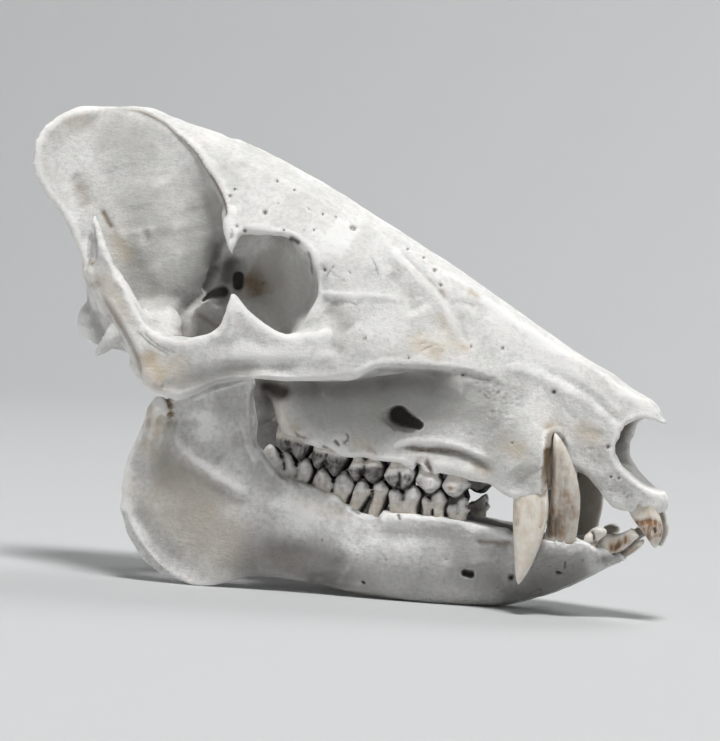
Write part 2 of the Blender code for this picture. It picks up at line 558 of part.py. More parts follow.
def thin_out(obj, triangles):
    """Bring a mesh down to about the given number of triangles."""
    count = sum(len(face.vertices) - 2 for face in obj.data.polygons)
    modifier = obj.modifiers.new("Decimate", "DECIMATE")
    modifier.ratio = min(1.0, triangles / count)
    apply_modifiers(obj)


def make_symmetric(obj):
    """Keep the left half of a mesh and mirror it onto the right."""
    modifier = obj.modifiers.new("Mirror", "MIRROR")
    modifier.use_axis = (False, True, False)
    modifier.use_bisect_axis = (False, True, False)
    modifier.use_bisect_flip_axis = (False, False, False)
    modifier.merge_threshold = 0.0001
    modifier.bisect_threshold = 0.0001
    apply_modifiers(obj)


def squared(value):
    """A cosine or sine pushed outwards, which squares up a round section."""
    return math.copysign(abs(value) ** ROOT_SQUARENESS, value)


def squamosal_root():
    """Bar from the braincase to the arch, with the joint hollow for the jaw under it."""
    sides = 20
    angles = [2 * math.pi * i / sides for i in range(sides)]
    rings = []
    for y, x, z, half_x, half_z in along(SQUAMOSAL_ROOT, 3):
        rings.append([(x + half_x * squared(math.cos(a)), y, z + half_z * squared(math.sin(a)))
                      for a in angles])
    return skin("squamosal_root", rings)


def tooth_rings(start, end, middle, width, gum, root, upper, grow, plain=False):
    """Rings of a cheek tooth from the root end, past the neck, to beyond the bite line.

    A plain tooth leaves the neck out, which is enough for a socket.
    """
    away = 1 if upper else -1
    centre = (start + end) / 2
    bite = np.interp(centre, *zip(*BITE))
    levels = [(gum + away * (root + grow), ROOT_SHARE), (gum, NECK_SHARE),
              (gum + (bite - gum) * WIDEST_LEVEL, 1.0), (bite - away * BEYOND_BITE, TOP_SHARE)]
    if plain:
        levels.pop(1)
    corner = 1 / math.cos(math.pi / TOOTH_SIDES)
    angles = [2 * math.pi * (i + 0.5) / TOOTH_SIDES for i in range(TOOTH_SIDES)]
    rings = []
    for z, share in levels:
        half_x = ((end - start) / 2 * share + grow) * corner
        half_y = (width / 2 * share + grow) * corner
        rings.append([(centre + half_x * math.cos(a), middle + half_y * math.sin(a), z)
                      for a in angles])
    return rings


def bite_block(upper):
    """Everything beyond the bite line of the upper or the lower teeth."""
    away = 1 if upper else -1
    line = [(x, z + away * BITE_GAP) for x, z in BITE]
    far = UPPER_TRIM if upper else LOWER_TRIM
    return plate("bite_block", line + [(BITE[-1][0], far), (BITE[0][0], far)], CUT_HALF)


def build_teeth(cutters, materials):
    """All thirty-six teeth, each its own object."""
    teeth = []
    for upper, row in ((True, UPPER_CHEEK), (False, LOWER_CHEEK)):
        jaw = "upper" if upper else "lower"
        for spec in row:
            tooth = skin(f"{jaw}_left_{spec[0]}", tooth_rings(*spec[1:], upper, 0.0))
            carve(tooth, [bite_block(upper)], cutters)
            teeth.append((tooth, materials["enamel"]))
    for kind, stations in TUSKS.items():
        jaw, _, rest = kind.partition("_")
        tooth = horn(f"{jaw}_left_{rest}", stations)
        teeth.append((tooth, materials["ivory"]))
    made = []
    for tooth, material in teeth:
        other = mirrored(tooth)
        other.name = tooth.name.replace("_left_", "_right_")
        made += [(tooth, material), (other, material)]
    return made


def socket_forms(jaw):
    """Left-side cutters for one jaw's sockets, a little larger than the teeth."""
    upper = jaw == "upper"
    row = UPPER_CHEEK if upper else LOWER_CHEEK
    forms = [skin("socket", tooth_rings(*spec[1:], upper, SOCKET_GAP, True)) for spec in row]
    for kind, stations in TUSKS.items():
        if kind.startswith(jaw):
            forms.append(horn("socket", stations[:4], grow=SOCKET_GAP))
    if upper:
        forms.append(horn("tusk_notch", TUSKS["lower_canine"][3:], grow=TUSK_GAP))
    return forms


def build_cranium(cutters):
    """The upper skull as one solid, with its openings and its tooth sockets."""
    core = half_section_loft("core", CORE, "x")
    carve(core, [ball("orbit", *ORBIT)], cutters)
    fan = half_section_loft("fan", FAN, "z")
    left = [
        curved_plate("arch", ARCH, ARCH_OUTER, ARCH_WIDTH),
        squamosal_root(),
        horn("postorbital", POSTORBITAL),
        horn("paroccipital", PAROCCIPITAL),
        ball("occipital_condyle", *OCCIPITAL_CONDYLE),
        ball("bulla", *BULLA),
        ball("pterygoid", *PTERYGOID),
    ]
    cranium = join("cranium", [core, fan, *left])
    remesh(cranium, VOXEL)
    relax(cranium, CRANIUM_SMOOTHING)
    openings = [
        plate("aperture", APERTURE_EDGE, CUT_HALF),
        horn("nasal_cavity", NASAL_CAVITY, sides=16, steps=2),
        horn("foramen_magnum", FORAMEN_MAGNUM, sides=14),
        ball("choana", *CHOANA),
        ball("eye_recess", *EYE_RECESS),
        ball("infraorbital", *INFRAORBITAL),
        ball("joint_hollow", CONDYLE[0], [radius + JOINT_GAP for radius in CONDYLE[1]]),
    ]
    carve(cranium, openings, cutters)
    thin_out(cranium, CRANIUM_TRIANGLES)
    make_symmetric(cranium)
    forms = socket_forms("upper")
    carve(cranium, forms + [mirrored(form) for form in forms], cutters)
    return cranium


def ramus_flare(x, z):
    """Outward lean of the ramus towards its top, where z is 0."""
    height = max(0.0, 1 - z / LEAN_START)
    return RAMUS_LEAN * height ** LEAN_POWER * np.interp(x, *zip(*LEAN_SHARE))


def build_mandible(cutters):
    """The lower jaw as one solid, both sides grown together at the chin."""
    left = [
        curved_plate("ramus", RAMUS, RAMUS_OUTER, RAMUS_WIDTH, ramus_flare),
        ring_loft("body", BODY),
        ball("condyle", *CONDYLE),
        horn("neck", CONDYLE_NECK),
    ]
    symphysis = half_section_loft("symphysis", SYMPHYSIS, "x")
    mandible = join("mandible", [symphysis, *left])
    remesh(mandible, VOXEL)
    relax(mandible, MANDIBLE_SMOOTHING)
    thin_out(mandible, MANDIBLE_TRIANGLES)
    make_symmetric(mandible)
    forms = socket_forms("lower")
    forms += [mirrored(form) for form in forms]
    carve(mandible, forms + [floor_block()], cutters)
    return mandible


def floor_block():
    """Everything below the floor that the skull stands on."""
    work = bmesh.new()
    turn = Matrix.Rotation(math.radians(SNOUT_LIFT), 4, "Y")
    place = turn @ Matrix.Translation((0, 0, FLOOR_LEVEL - FLOOR_BLOCK[2] / 2))
    bmesh.ops.create_cube(work, size=1.0, matrix=place @ Matrix.Diagonal((*FLOOR_BLOCK, 1)))
    mesh = bpy.data.meshes.new("floor_block")
    work.to_mesh(mesh)
    work.free()
    block = bpy.data.objects.new("floor_block", mesh)
    bpy.context.scene.collection.objects.link(block)
    return block


def finish(obj, material, model, frame):
    """Give a piece its material, its shading and its place in the standing skull."""
    obj.data.transform(Matrix.Scale(MM, 4))
    obj.data.materials.clear()
    obj.data.materials.append(material)
    obj.data.shade_smooth()
    obj.data.set_sharp_from_angle(angle=math.radians(SHARP_ANGLE))
    for holder in list(obj.users_collection):
        holder.objects.unlink(obj)
    model.objects.link(obj)
    obj.parent = frame


def main():
    """Build every piece and stand the skull on its jaw."""
    clear_scene()
    model = new_collection(OBJECT_NAME)
    cutters = new_collection("cutters")
    materials = {
        "bone": new_material("bone", BONE, 0.6),
        "jaw_bone": new_material("jaw_bone", JAW_BONE, 0.6),
        "enamel": new_material("enamel", ENAMEL, 0.35),
        "ivory": new_material("ivory", IVORY, 0.35),
    }
    frame = bpy.data.objects.new("standing_frame", None)
    model.objects.link(frame)
    frame.rotation_euler = (0, math.radians(-SNOUT_LIFT), 0)
    frame.location = (-MIDDLE_X * MM, 0, -FLOOR_LEVEL * MM)

    cranium = build_cranium(cutters)
    mandible = build_mandible(cutters)
    finish(cranium, materials["bone"], model, frame)
    finish(mandible, materials["jaw_bone"], model, frame)
    for tooth, material in build_teeth(cutters, materials):
        finish(tooth, material, model, frame)


main()
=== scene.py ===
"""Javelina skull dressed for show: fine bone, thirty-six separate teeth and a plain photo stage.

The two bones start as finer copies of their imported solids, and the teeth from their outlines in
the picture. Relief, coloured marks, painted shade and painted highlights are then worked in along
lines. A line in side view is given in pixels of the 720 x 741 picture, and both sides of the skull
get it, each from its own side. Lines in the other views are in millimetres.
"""
import math

import bmesh
import bpy
import numpy as np
from mathutils import Matrix, Vector, geometry, noise
from mathutils.bvhtree import BVHTree
from mathutils.kdtree import KDTree


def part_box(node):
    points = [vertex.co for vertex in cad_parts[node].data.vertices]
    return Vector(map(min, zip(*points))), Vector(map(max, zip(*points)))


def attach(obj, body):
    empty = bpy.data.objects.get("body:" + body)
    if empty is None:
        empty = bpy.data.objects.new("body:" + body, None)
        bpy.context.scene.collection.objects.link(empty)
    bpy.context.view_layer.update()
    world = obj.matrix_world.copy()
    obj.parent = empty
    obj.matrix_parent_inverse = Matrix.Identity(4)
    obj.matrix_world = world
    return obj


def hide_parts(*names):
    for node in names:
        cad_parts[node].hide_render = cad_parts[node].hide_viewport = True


bl_info = {
    "name": "Javelina skull",
    "version": (1, 0, 0),
    "blender": (4, 5, 0),
    "location": "3D View > Sidebar > Skull",
    "description": "Fine bones and teeth of a javelina skull, with a plain stage",
    "category": "Object",
}

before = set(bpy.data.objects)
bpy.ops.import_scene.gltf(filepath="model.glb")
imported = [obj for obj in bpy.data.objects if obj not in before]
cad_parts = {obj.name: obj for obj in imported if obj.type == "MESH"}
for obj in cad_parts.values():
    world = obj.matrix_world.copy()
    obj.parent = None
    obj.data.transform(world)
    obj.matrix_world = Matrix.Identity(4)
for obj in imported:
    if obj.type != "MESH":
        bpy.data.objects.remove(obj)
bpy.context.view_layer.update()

MM = 0.001
BODY = "root"

# How the skull stands: it is turned nose up from the picture's level and set down on its jaw
SNOUT_LIFT = math.radians(4.4)
MIDDLE_X = -2.8
FLOOR_LEVEL = -79.6
STANDING = (Matrix.Translation((-MIDDLE_X * MM, 0, -FLOOR_LEVEL * MM))
            @ Matrix.Rotation(-SNOUT_LIFT, 4, "Y"))

# How the picture sees it
PICTURE = (720, 741)
PIXEL = 0.36
VIEW_TURN = math.radians(16)
VIEW_DISTANCE = 1200.0
SENSOR = 36.0
TO_CAMERA = np.array([math.sin(VIEW_TURN), -math.cos(VIEW_TURN), 0.0])
TO_RIGHT = np.array([math.cos(VIEW_TURN), math.sin(VIEW_TURN), 0.0])

# What share of the way to its neighbours smoothing moves a point, and how far back again
SMOOTH_STEP = 0.5
BACK_STEP = -0.53


def column(items, name, width, kind=float):
    """One property of all points or edges of a mesh, as an array."""
    found = np.empty(len(items) * width, kind)
    items.foreach_get(name, found)
    return found.reshape(-1, width)


def coordinates(mesh):
    """The mesh's points, in metres."""
    return column(mesh.vertices, "co", 3)


def put_coordinates(mesh, points):
    """Move the mesh's points."""
    mesh.vertices.foreach_set("co", np.ascontiguousarray(points).ravel())
    mesh.update()


def normals(mesh):
    """The direction in which the surface faces at each point."""
    return column(mesh.vertex_normals, "vector", 3)


def edge_ends(mesh):
    """The two ends of every edge."""
    return column(mesh.edges, "vertices", 2, int).T


def averaged(values, ends):
    """Each point's value replaced by the mean of its neighbours'."""
    first, second = ends
    count = np.bincount(np.concatenate([first, second]), minlength=len(values))
    total = np.zeros_like(values)
    for k in range(values.shape[1]):
        total[:, k] = np.bincount(first, values[second, k], len(values))
        total[:, k] += np.bincount(second, values[first, k], len(values))
    return total / np.maximum(count, 1)[:, None]


def relax(mesh, rounds):
    """Smooth a mesh by steps forward and back, which keep it from shrinking."""
    ends = edge_ends(mesh)
    points = coordinates(mesh)
    for _ in range(rounds):
        for factor in (SMOOTH_STEP, BACK_STEP):
            points = points + factor * (averaged(points, ends) - points)
    put_coordinates(mesh, points)


def added(name, data):
    """A new object in the scene."""
    obj = bpy.data.objects.new(name, data)
    bpy.context.scene.collection.objects.link(obj)
    return obj


def add_skin(obj, size):
    """Cover an object with an even skin of faces of the given size, in millimetres."""
    skin = obj.modifiers.new("Skin", "REMESH")
    skin.mode = "VOXEL"
    skin.voxel_size = size * MM


def evaluated(obj):
    """A new mesh of what an object's modifiers make of it. They are then removed."""
    bpy.context.view_layer.update()
    graph = bpy.context.evaluated_depsgraph_get()
    mesh = bpy.data.meshes.new_from_object(obj.evaluated_get(graph))
    obj.modifiers.clear()
    return mesh


def fine_copy(name, node, grain):
    """A new object with an even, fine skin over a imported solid."""
    obj = added(name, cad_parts[node].data.copy())
    weld = obj.modifiers.new("Weld", "WELD")
    weld.merge_threshold = 0.01 * MM
    add_skin(obj, grain)
    obj.data = evaluated(obj)
    return obj


def measured(points):
    """Points of the standing skull in the measuring frame, in millimetres."""
    back = np.array(STANDING.inverted())
    return (points @ back[:3, :3].T + back[:3, 3]) / MM


def pixels(points):
    """Where the picture shows each point of the right side."""
    depth = VIEW_DISTANCE - points @ TO_CAMERA
    scale = VIEW_DISTANCE / depth / PIXEL
    across = points @ TO_RIGHT * scale + PICTURE[0] / 2
    down = PICTURE[1] / 2 - points[:, 2] * scale
    return np.column_stack([across, down])


def smooth_line(line, steps=6):
    """A line through its points, rounded at each."""
    line = np.asarray(line, float)
    if len(line) < 3:
        return line
    ends = np.concatenate([[2 * line[0] - line[1]], line, [2 * line[-1] - line[-2]]])
    found = []
    for k in range(1, len(ends) - 2):
        a, b, c, d = ends[k - 1:k + 3]
        for t in np.arange(steps) / steps:
            found.append(0.5 * (2 * b + (c - a) * t + (2 * a - 5 * b + 4 * c - d) * t * t
                                + (3 * b - a - 3 * c + d) * t ** 3))
    return np.array(found + [line[-1]])


def distance(places, line):
    """How far each place is from a line, on which side of it, and how far along the line."""
    line = smooth_line(line)
    nearest = np.full(len(places), 1e9)
    side = np.zeros(len(places))
    run = np.zeros(len(places))
    if len(line) == 1:
        return np.linalg.norm(places - line[0], axis=1), side, run
    lengths = np.linalg.norm(np.diff(line, axis=0), axis=1)
    total = lengths.sum()
    before = 0.0
    for start, end, length in zip(line[:-1], line[1:], lengths):
        way = (end - start) / length
        off = places - start
        at = np.clip(off @ way, 0, length)
        gap = np.linalg.norm(off - at[:, None] * way, axis=1)
        closer = gap < nearest
        nearest[closer] = gap[closer]
        side[closer] = (off[:, 0] * way[1] - off[:, 1] * way[0])[closer]
        run[closer] = ((before + at) / total)[closer]
        before += length
    return nearest, side, run


def smoothstep(low, high, values):
    """0 below low, 1 above high and a smooth change between them."""
    t = np.clip((values - low) / (high - low), 0, 1)
    return t * t * (3 - 2 * t)


def parts(stroke):
    """A stroke's line, its width, its other numbers and its choices."""
    line, width, *numbers = stroke
    choices = numbers.pop() if isinstance(numbers[-1], dict) else {}
    return line, width, numbers, choices


# Views other than the picture's: the axes that they show and their signs, then the axis that
# points at the viewer and its sign
VIEWS = {
    "inner": ([0, 2], (1, 1), 1, 1),
    "top": ([0, 1], (1, -1), 2, 1),
    "under": ([0, 1], (1, -1), 2, -1),
    "front": ([1, 2], (-1, 1), 0, 1),
}

# How a stroke fades away from its line and how far it reaches, in its own widths
FALLS = {"flat": (0.55, 1.35), "hole": (0.8, 1.15)}
STEP_RISE = (-0.6, 0.6)
STEP_FADE = 2.6
STEP_REACH = 4.5
REACH = 3.2
# How it fades at its ends, in shares of its length
END_FADE = (-0.06, 0.16)

# Strokes narrower than these, in mm, have the faces under them divided, once for each. The faces
# are those where a stroke so many times as wide bears at least this strongly.
FINE_WIDTHS = (1.0, 0.5)
FINE_REACH = 1.6
FINE_SHARE = 0.05


class Surface:
    """A bone or tooth while relief and stains are worked into it.

    Strokes are tuples of a line, its width in mm, one or two numbers that the method asks for,
    and often a dict of choices, which go to weight.
    """

    def __init__(self, obj):
        self.obj = obj
        self.marks = {}
        self.read()

    def read(self):
        """Take the mesh's points as they are now, and their places on the right side."""
        mesh = self.obj.data
        self.points = coordinates(mesh)
        self.faces_to = normals(mesh)
        place = measured(self.points)
        turned = self.faces_to @ np.array(STANDING.inverted())[:3, :3].T
        mirror = np.ones_like(place)
        mirror[place[:, 1] > 0, 1] = -1
        self.place = place * mirror
        self.turned = turned * mirror
        self.depth = -self.place[:, 1]

    def put(self, points):
        """Move the mesh's points, and read it again."""
        put_coordinates(self.obj.data, points)
        self.read()

    def lift(self, heights):
        """Raise each point off the surface by its height in millimetres."""
        self.put(self.points + self.faces_to * heights[:, None] * MM)

    def plane(self, view):
        """Places of the points in a view, millimetres to one unit, and how squarely they face it."""
        if view == "side":
            return pixels(self.place), PIXEL, self.turned @ TO_CAMERA
        axes, signs, facing, sign = VIEWS[view]
        return self.place[:, axes] * signs, 1.0, sign * self.turned[:, facing]

    def weight(self, line, width, view="side", depth=(-1, 99), along=(-999, 999), kind="ridge",
               taper=True, facing=0.1, ends=(1, 1)):
        """The points near a line of a width in millimetres, and how strongly it bears on them.

        A ridge fades like a bell, a flat one has a level top, a hole has steep sides, and a step
        lies on one side of its line. depth and along bound the points by how far they lie from
        the skull's middle and towards the snout, and facing by how squarely they face the view.
        """
        places, unit, square = self.plane(view)
        line = np.asarray(line, float).reshape(-1, 2)
        reach = (STEP_REACH if kind == "step" else REACH) * width / unit
        near = ((places > line.min(0) - reach) & (places < line.max(0) + reach)).all(axis=1)
        near &= square > facing - 0.1
        near &= (self.depth > depth[0] - 1) & (self.depth < depth[1] + 1)
        near &= (self.place[:, 0] > along[0]) & (self.place[:, 0] < along[1])
        near = np.nonzero(near)[0]
        gap, side, run = distance(places[near], line)
        scale = unit / width / np.interp(run, (0, 1), ends)
        gap, side = gap * scale, side * scale
        if kind == "ridge":
            share = np.exp(-gap * gap)
        elif kind == "step":
            share = smoothstep(*STEP_RISE, side) * np.exp(-(gap / STEP_FADE) ** 2)
        else:
            share = 1 - smoothstep(*FALLS[kind], gap)
        if taper and len(line) > 1:
            share = share * smoothstep(*END_FADE, run) * smoothstep(*END_FADE, 1 - run)
        share = share * smoothstep(facing - 0.1, facing + 0.15, square[near])
        share = share * smoothstep(depth[0] - 1, depth[0] + 0.5, self.depth[near])
        share = share * (1 - smoothstep(depth[1] - 0.5, depth[1] + 1, self.depth[near]))
        return near, share

    def weights(self, strokes, **usual):
        """For each stroke the points near it, how strongly it bears on them, and its numbers."""
        for line, width, numbers, choices in map(parts, strokes):
            yield (*self.weight(line, width, **{**usual, **choices}), *numbers)

    def raise_lines(self, strokes):
        """Raise or sink the surface along strokes of (line, width, height in mm)."""
        heights = np.zeros(len(self.points))
        for near, share, height in self.weights(strokes):
            heights[near] += height * share
        self.lift(heights)

    def shift_edges(self, strokes):
        """Pull edges along strokes of (line, width, way in mm as x and z)."""
        move = np.zeros((len(self.points), 3))
        for near, share, (ahead, up) in self.weights(strokes, facing=-2.0):
            move[near] += share[:, None] * (ahead, 0.0, up)
        self.put(self.points + move @ np.array(STANDING)[:3, :3].T * MM)

    def soften(self, strokes, rounds):
        """Melt edges away along strokes of (line, width, strength)."""
        share = np.zeros(len(self.points))
        for near, part, strength in self.weights(strokes):
            share[near] = np.maximum(share[near], strength * part)
        ends = edge_ends(self.obj.data)
        soft = self.points
        for _ in range(rounds):
            soft = soft + SMOOTH_STEP * share[:, None] * (averaged(soft, ends) - soft)
        self.put(soft)

    def stain_and_shade(self, mark, strokes):
        """Add to one of the surface's marks along strokes of (line, width, strength)."""
        total = self.marks.setdefault(mark, np.zeros(len(self.points)))
        for near, share, strength in self.weights(strokes):
            total[near] += strength * share

    def refine(self, strokes, patches):
        """Divide the faces near narrow strokes and on rough patches, so the mesh can follow."""
        for limit in FINE_WIDTHS:
            fine = [stroke for stroke in map(parts, strokes)
                    if stroke[1] < limit or stroke[3].get("kind") in FALLS]
            if limit == FINE_WIDTHS[0]:
                fine += map(parts, patches)
            chosen = np.zeros(len(self.points), bool)
            for line, width, _, choices in fine:
                choices = {**choices, "kind": "ridge"}
                near, share = self.weight(line, width * FINE_REACH, **choices)
                chosen[near[share > FINE_SHARE]] = True
            work = bmesh.new()
            work.from_mesh(self.obj.data)
            work.verts.ensure_lookup_table()
            edges = [edge for edge in work.edges
                     if chosen[edge.verts[0].index] and chosen[edge.verts[1].index]]
            bmesh.ops.subdivide_edges(work, edges=edges, cuts=1, use_grid_fill=True, smooth=0.0)
            work.to_mesh(self.obj.data)
            work.free()
            self.obj.data.update()
            self.read()

    def roughen(self, patches):
        """Crease the surface on patches of (line, width, height, size of the creases in mm)."""
        heights = np.zeros(len(self.points))
        for near, share, height, size in self.weights(patches):
            for i, part in zip(near, share):
                if part > 0.03:
                    folds = noise.noise(Vector(self.points[i] / (size * MM)))
                    heights[i] += height * part * (0.4 - 2.0 * abs(folds))
        self.lift(heights)

    def undulate(self, size, height):
        """Gentle unevenness all over, as grown bone has."""
        waves = [noise.fractal(Vector(point / (size * MM)), 0.9, 2.1, 3)
                 for point in self.points]
        self.lift(np.array(waves) * height)

    def hollows(self, rounds):
        """How far each point lies below the smoothed surface around it, in millimetres."""
        ends = edge_ends(self.obj.data)
        soft = self.points
        for _ in range(rounds):
            soft = soft + SMOOTH_STEP * (averaged(soft, ends) - soft)
        return ((soft - self.points) * self.faces_to).sum(1) / MM

    def write_marks(self):
        """Keep the marks as attributes that the finish reads."""
        for name, values in self.marks.items():
            made = self.obj.data.attributes.new(name, "FLOAT", "POINT")
            made.data.foreach_set("value", np.clip(values, -1, 1).astype(np.float32))


class Socket:
    """A node's output with arithmetic: each step adds a Math node."""

    def __init__(self, graph, socket):
        self.graph = graph
        self.socket = socket

    def math(self, operation, *others, clamp=False):
        """A Math node on this socket and up to two more values."""
        settings = {"operation": operation, "use_clamp": clamp}
        inputs = dict(enumerate((self, *others)))
        return self.graph.node("ShaderNodeMath", settings, inputs)

    def __add__(self, other):
        return self.math("ADD", other)

    def __sub__(self, other):
        return self.math("SUBTRACT", other)

    def __rsub__(self, other):
        return self.graph.node("ShaderNodeMath", {"operation": "SUBTRACT"}, {0: other, 1: self})

    def __mul__(self, other):
        return self.math("MULTIPLY", other)

    __radd__ = __add__
    __rmul__ = __mul__

    def clamped(self):
        """The value held between 0 and 1."""
        return self.math("ADD", 0.0, clamp=True)

    def between(self, low, high):
        """0 where the value is low, 1 where it is high and smooth between."""
        return self.graph.node(
            "ShaderNodeMapRange", {"interpolation_type": "SMOOTHSTEP"},
            {"Value": self, "From Min": low, "From Max": high, "To Min": 0.0, "To Max": 1.0})


class Graph:
    """The node tree of one finish."""

    def __init__(self, name):
        self.material = bpy.data.materials.new(name)
        self.material.use_nodes = True
        self.tree = self.material.node_tree
        self.shader = self.tree.nodes["Principled BSDF"]

    def node(self, kind, settings, inputs, output=0):
        """A node of a kind, with its settings and then the values or links of its sockets."""
        made = self.tree.nodes.new(kind)
        for name, value in settings.items():
            setattr(made, name, value)
        self.fill(made, inputs)
        return Socket(self, made.outputs[output])

    def fill(self, made, inputs):
        """Set or link sockets of a node."""
        for name, value in inputs.items():
            socket = made.inputs[name]
            if isinstance(value, Socket):
                self.tree.links.new(value.socket, socket)
            elif isinstance(value, tuple) and socket.type == "RGBA":
                socket.default_value = (*value, 1.0)
            else:
                socket.default_value = value

    def mark(self, name):
        """One of the marks that were worked into the surface."""
        return self.node("ShaderNodeAttribute", {"attribute_name": name}, {}, "Fac")

    def noise(self, size, detail=3.0, rough=0.55, stretch=(1.0, 1.0, 1.0), warp=0.0):
        """Soft blotches about the given size across, in millimetres."""
        place = self.node("ShaderNodeTexCoord", {}, {}, "Object")
        place = self.node("ShaderNodeVectorMath", {"operation": "MULTIPLY"},
                          {0: place, 1: stretch})
        return self.node(
            "ShaderNodeTexNoise", {},
            {"Vector": place, "Scale": 1 / (size * MM), "Detail": detail, "Roughness": rough,
             "Distortion": warp}, "Fac")

    def mix(self, amount, start, end, blend="MIX"):
        """A colour between two colours."""
        settings = {"data_type": "RGBA", "blend_type": blend, "clamp_factor": True}
        return self.node("ShaderNodeMix", settings, {0: amount, 6: start, 7: end}, 2)

    def bump(self, height, strength, depth, under=None):
        """A bumpy normal from a height, over another bump."""
        inputs = {"Height": height, "Strength": strength, "Distance": depth * MM}
        if under:
            inputs["Normal"] = under
        return self.node("ShaderNodeBump", {}, inputs)

    def finish(self, colour, rough, relief, gloss):
        """The material, once its colour, roughness and relief are linked."""
        self.fill(self.shader, {"Base Color": colour, "Roughness": rough, "Normal": relief,
                                "Specular IOR Level": gloss, "Subsurface Weight": INNER_LIGHT,
                                "Subsurface Scale": INNER_SPREAD * MM})
        return self.material


BONE_GLOSS = 0.4
TOOTH_GLOSS = 0.5
# How much light enters bone and tooth, and how far it spreads there in mm
INNER_LIGHT = 0.08
INNER_SPREAD = 1.0
# Near black of soil, pores and painted shade in the bone's recesses and shut-in places
DARK_SOIL_AND_SHADE = (0.035, 0.03, 0.024)
# Near black of the teeth's fissures and of their painted shade between teeth and at the bite
FISSURE_SOIL_AND_SHADE = (0.025, 0.019, 0.016)
TOOTH_BROWN = (0.30, 0.155, 0.065)
# Paler enamel of ridges and cusps: partly wear, partly painted highlight
WORN_AND_HIGHLIT_ENAMEL = (0.90, 0.89, 0.86)


def bone_finish(name, light, grey, stain_and_shade, tan):
    """Dry bone: near white, painted shade and brown in its hollows, finely pored and scratched."""
    graph = Graph(name)
    cloud = graph.noise(26, 4)
    patch = graph.noise(9, 5, 0.6, warp=0.6)
    fleck = graph.noise(1.7, 5, 0.7)
    grain = graph.noise(0.7, 3, 0.7)
    scratch = graph.noise(1.6, 4, 0.7, stretch=(0.35, 1.0, 1.3))
    hollow = graph.mark("hollow")
    deep = graph.mark("deep")

    # Convex places: painted highlight, less grey and a paler colour
    ridge = (0.0 - hollow).between(0.04, 0.35)
    # Grey: random tone, the grey mark, mostly painted shade and light, and painted shade in hollows
    greyness = (cloud.between(0.38, 0.72) * 0.4 + patch.between(0.35, 0.75) * 0.26
                + fleck.between(0.38, 0.74) * 0.4 + graph.mark("grey")
                + hollow.between(0.03, 0.4) * 0.6)
    colour = graph.mix((greyness - ridge * 0.35).math("MAXIMUM", 0.0).math("TANH"), light, grey)
    warmth = graph.mark("tan") * (0.5 + patch)
    colour = graph.mix((warmth + fleck.between(0.6, 0.85) * 0.16).clamped(), colour, tan)
    # Brown: stains, soil in hollows and painted shade in shut-in places
    brown = (graph.mark("brown") * (0.25 + patch + fleck * 0.6)
             + hollow.between(0.15, 0.7) * fleck.between(0.25, 0.7) * 0.6
             + deep.between(0.35, 0.95) * 0.55)
    colour = graph.mix(brown.clamped(), colour, stain_and_shade)
    # Painted highlight on the ridges
    colour = graph.mix(ridge * 0.35, colour, tuple(min(1.0, 1.12 * c) for c in light))
    pores = grain.between(0.62, 0.76) * fleck.between(0.4, 0.62)
    # Near black: the dark mark, mostly painted shade, pores and painted shade in shut-in places
    dark = (graph.mark("dark") + pores * 0.25 + deep.between(0.5, 0.95) * 0.4).clamped()
    colour = graph.mix(dark, colour, DARK_SOIL_AND_SHADE)

    rough = 0.5 + patch * 0.16 + grain * 0.1
    relief = graph.bump(fleck, 0.6, 0.6)
    relief = graph.bump(scratch, 0.45, 0.45, relief)
    relief = graph.bump(grain - pores * 1.4, 0.5, 0.3, relief)
    return graph.finish(colour, rough, relief, BONE_GLOSS)


def tooth_finish(name, light, dark, root, streak):
    """Tooth: shaded enamel, pale neck, dark fissures and painted shade, fine upright streaks."""
    graph = Graph(name)
    patch = graph.noise(3.5, 4, 0.6)
    lines = graph.noise(1.3, 4, 0.65, stretch=(1.0, 1.0, 0.22))
    grain = graph.noise(0.6, 3)
    hollow = graph.mark("hollow")
    grey = graph.mark("grey")
    neck = graph.mark("neck")

    ridge = (0.0 - hollow).between(0.02, 0.2)
    mottle = patch.between(0.42, 0.66) * 0.5 + lines.between(0.5, 0.68) * 0.35
    colour = graph.mix((grey * (0.7 + mottle)).clamped(), light, dark)
    colour = graph.mix((neck * 0.85).clamped(), colour, root)
    colour = graph.mix((mottle * 0.9).clamped(), colour, streak, "MULTIPLY")
    brown = (graph.mark("brown") * (lines.between(0.3, 0.62) + patch * 0.7)).clamped()
    colour = graph.mix(brown, colour, TOOTH_BROWN)
    # Paler ridges: partly wear, partly painted highlight
    colour = graph.mix(ridge * (0.5 - grey * 0.35), colour, WORN_AND_HIGHLIT_ENAMEL)
    # Near black: painted shade in hollows, between teeth and at the bite, and dark fissures
    soil_and_shade = (hollow.between(0.06, 0.3) * 0.75 + graph.mark("dark")).clamped()
    colour = graph.mix(soil_and_shade, colour, FISSURE_SOIL_AND_SHADE)

    rough = 0.3 + patch * 0.15 + soil_and_shade * 0.3 + neck * 0.2
    relief = graph.bump(grain, 0.4, 0.16, graph.bump(lines, 0.45, 0.35))
    return graph.finish(colour, rough, relief, TOOTH_GLOSS)


def plain_finish(name, colour, roughness):
    """The stage's even, matt paint with a hardly visible grain."""
    graph = Graph(name)
    grain = graph.noise(3.0, 2)
    graph.fill(graph.shader, {
        "Base Color": graph.mix(grain * 0.06, colour, tuple(0.9 * c for c in colour)),
        "Roughness": roughness})
    return graph.material


def carved(cracks):
    """The relief of cracks and holes of (line, width, height, width and strength of the dark,
    choices).
    """
    return [(line, width, height, choices) for line, width, height, _, _, choices in cracks]


def crack_soil_and_shade(cracks):
    """The dark in the same cracks and holes, soil and painted shade, as marks."""
    return [(line, width, strength, choices) for line, _, _, width, strength, choices in cracks]


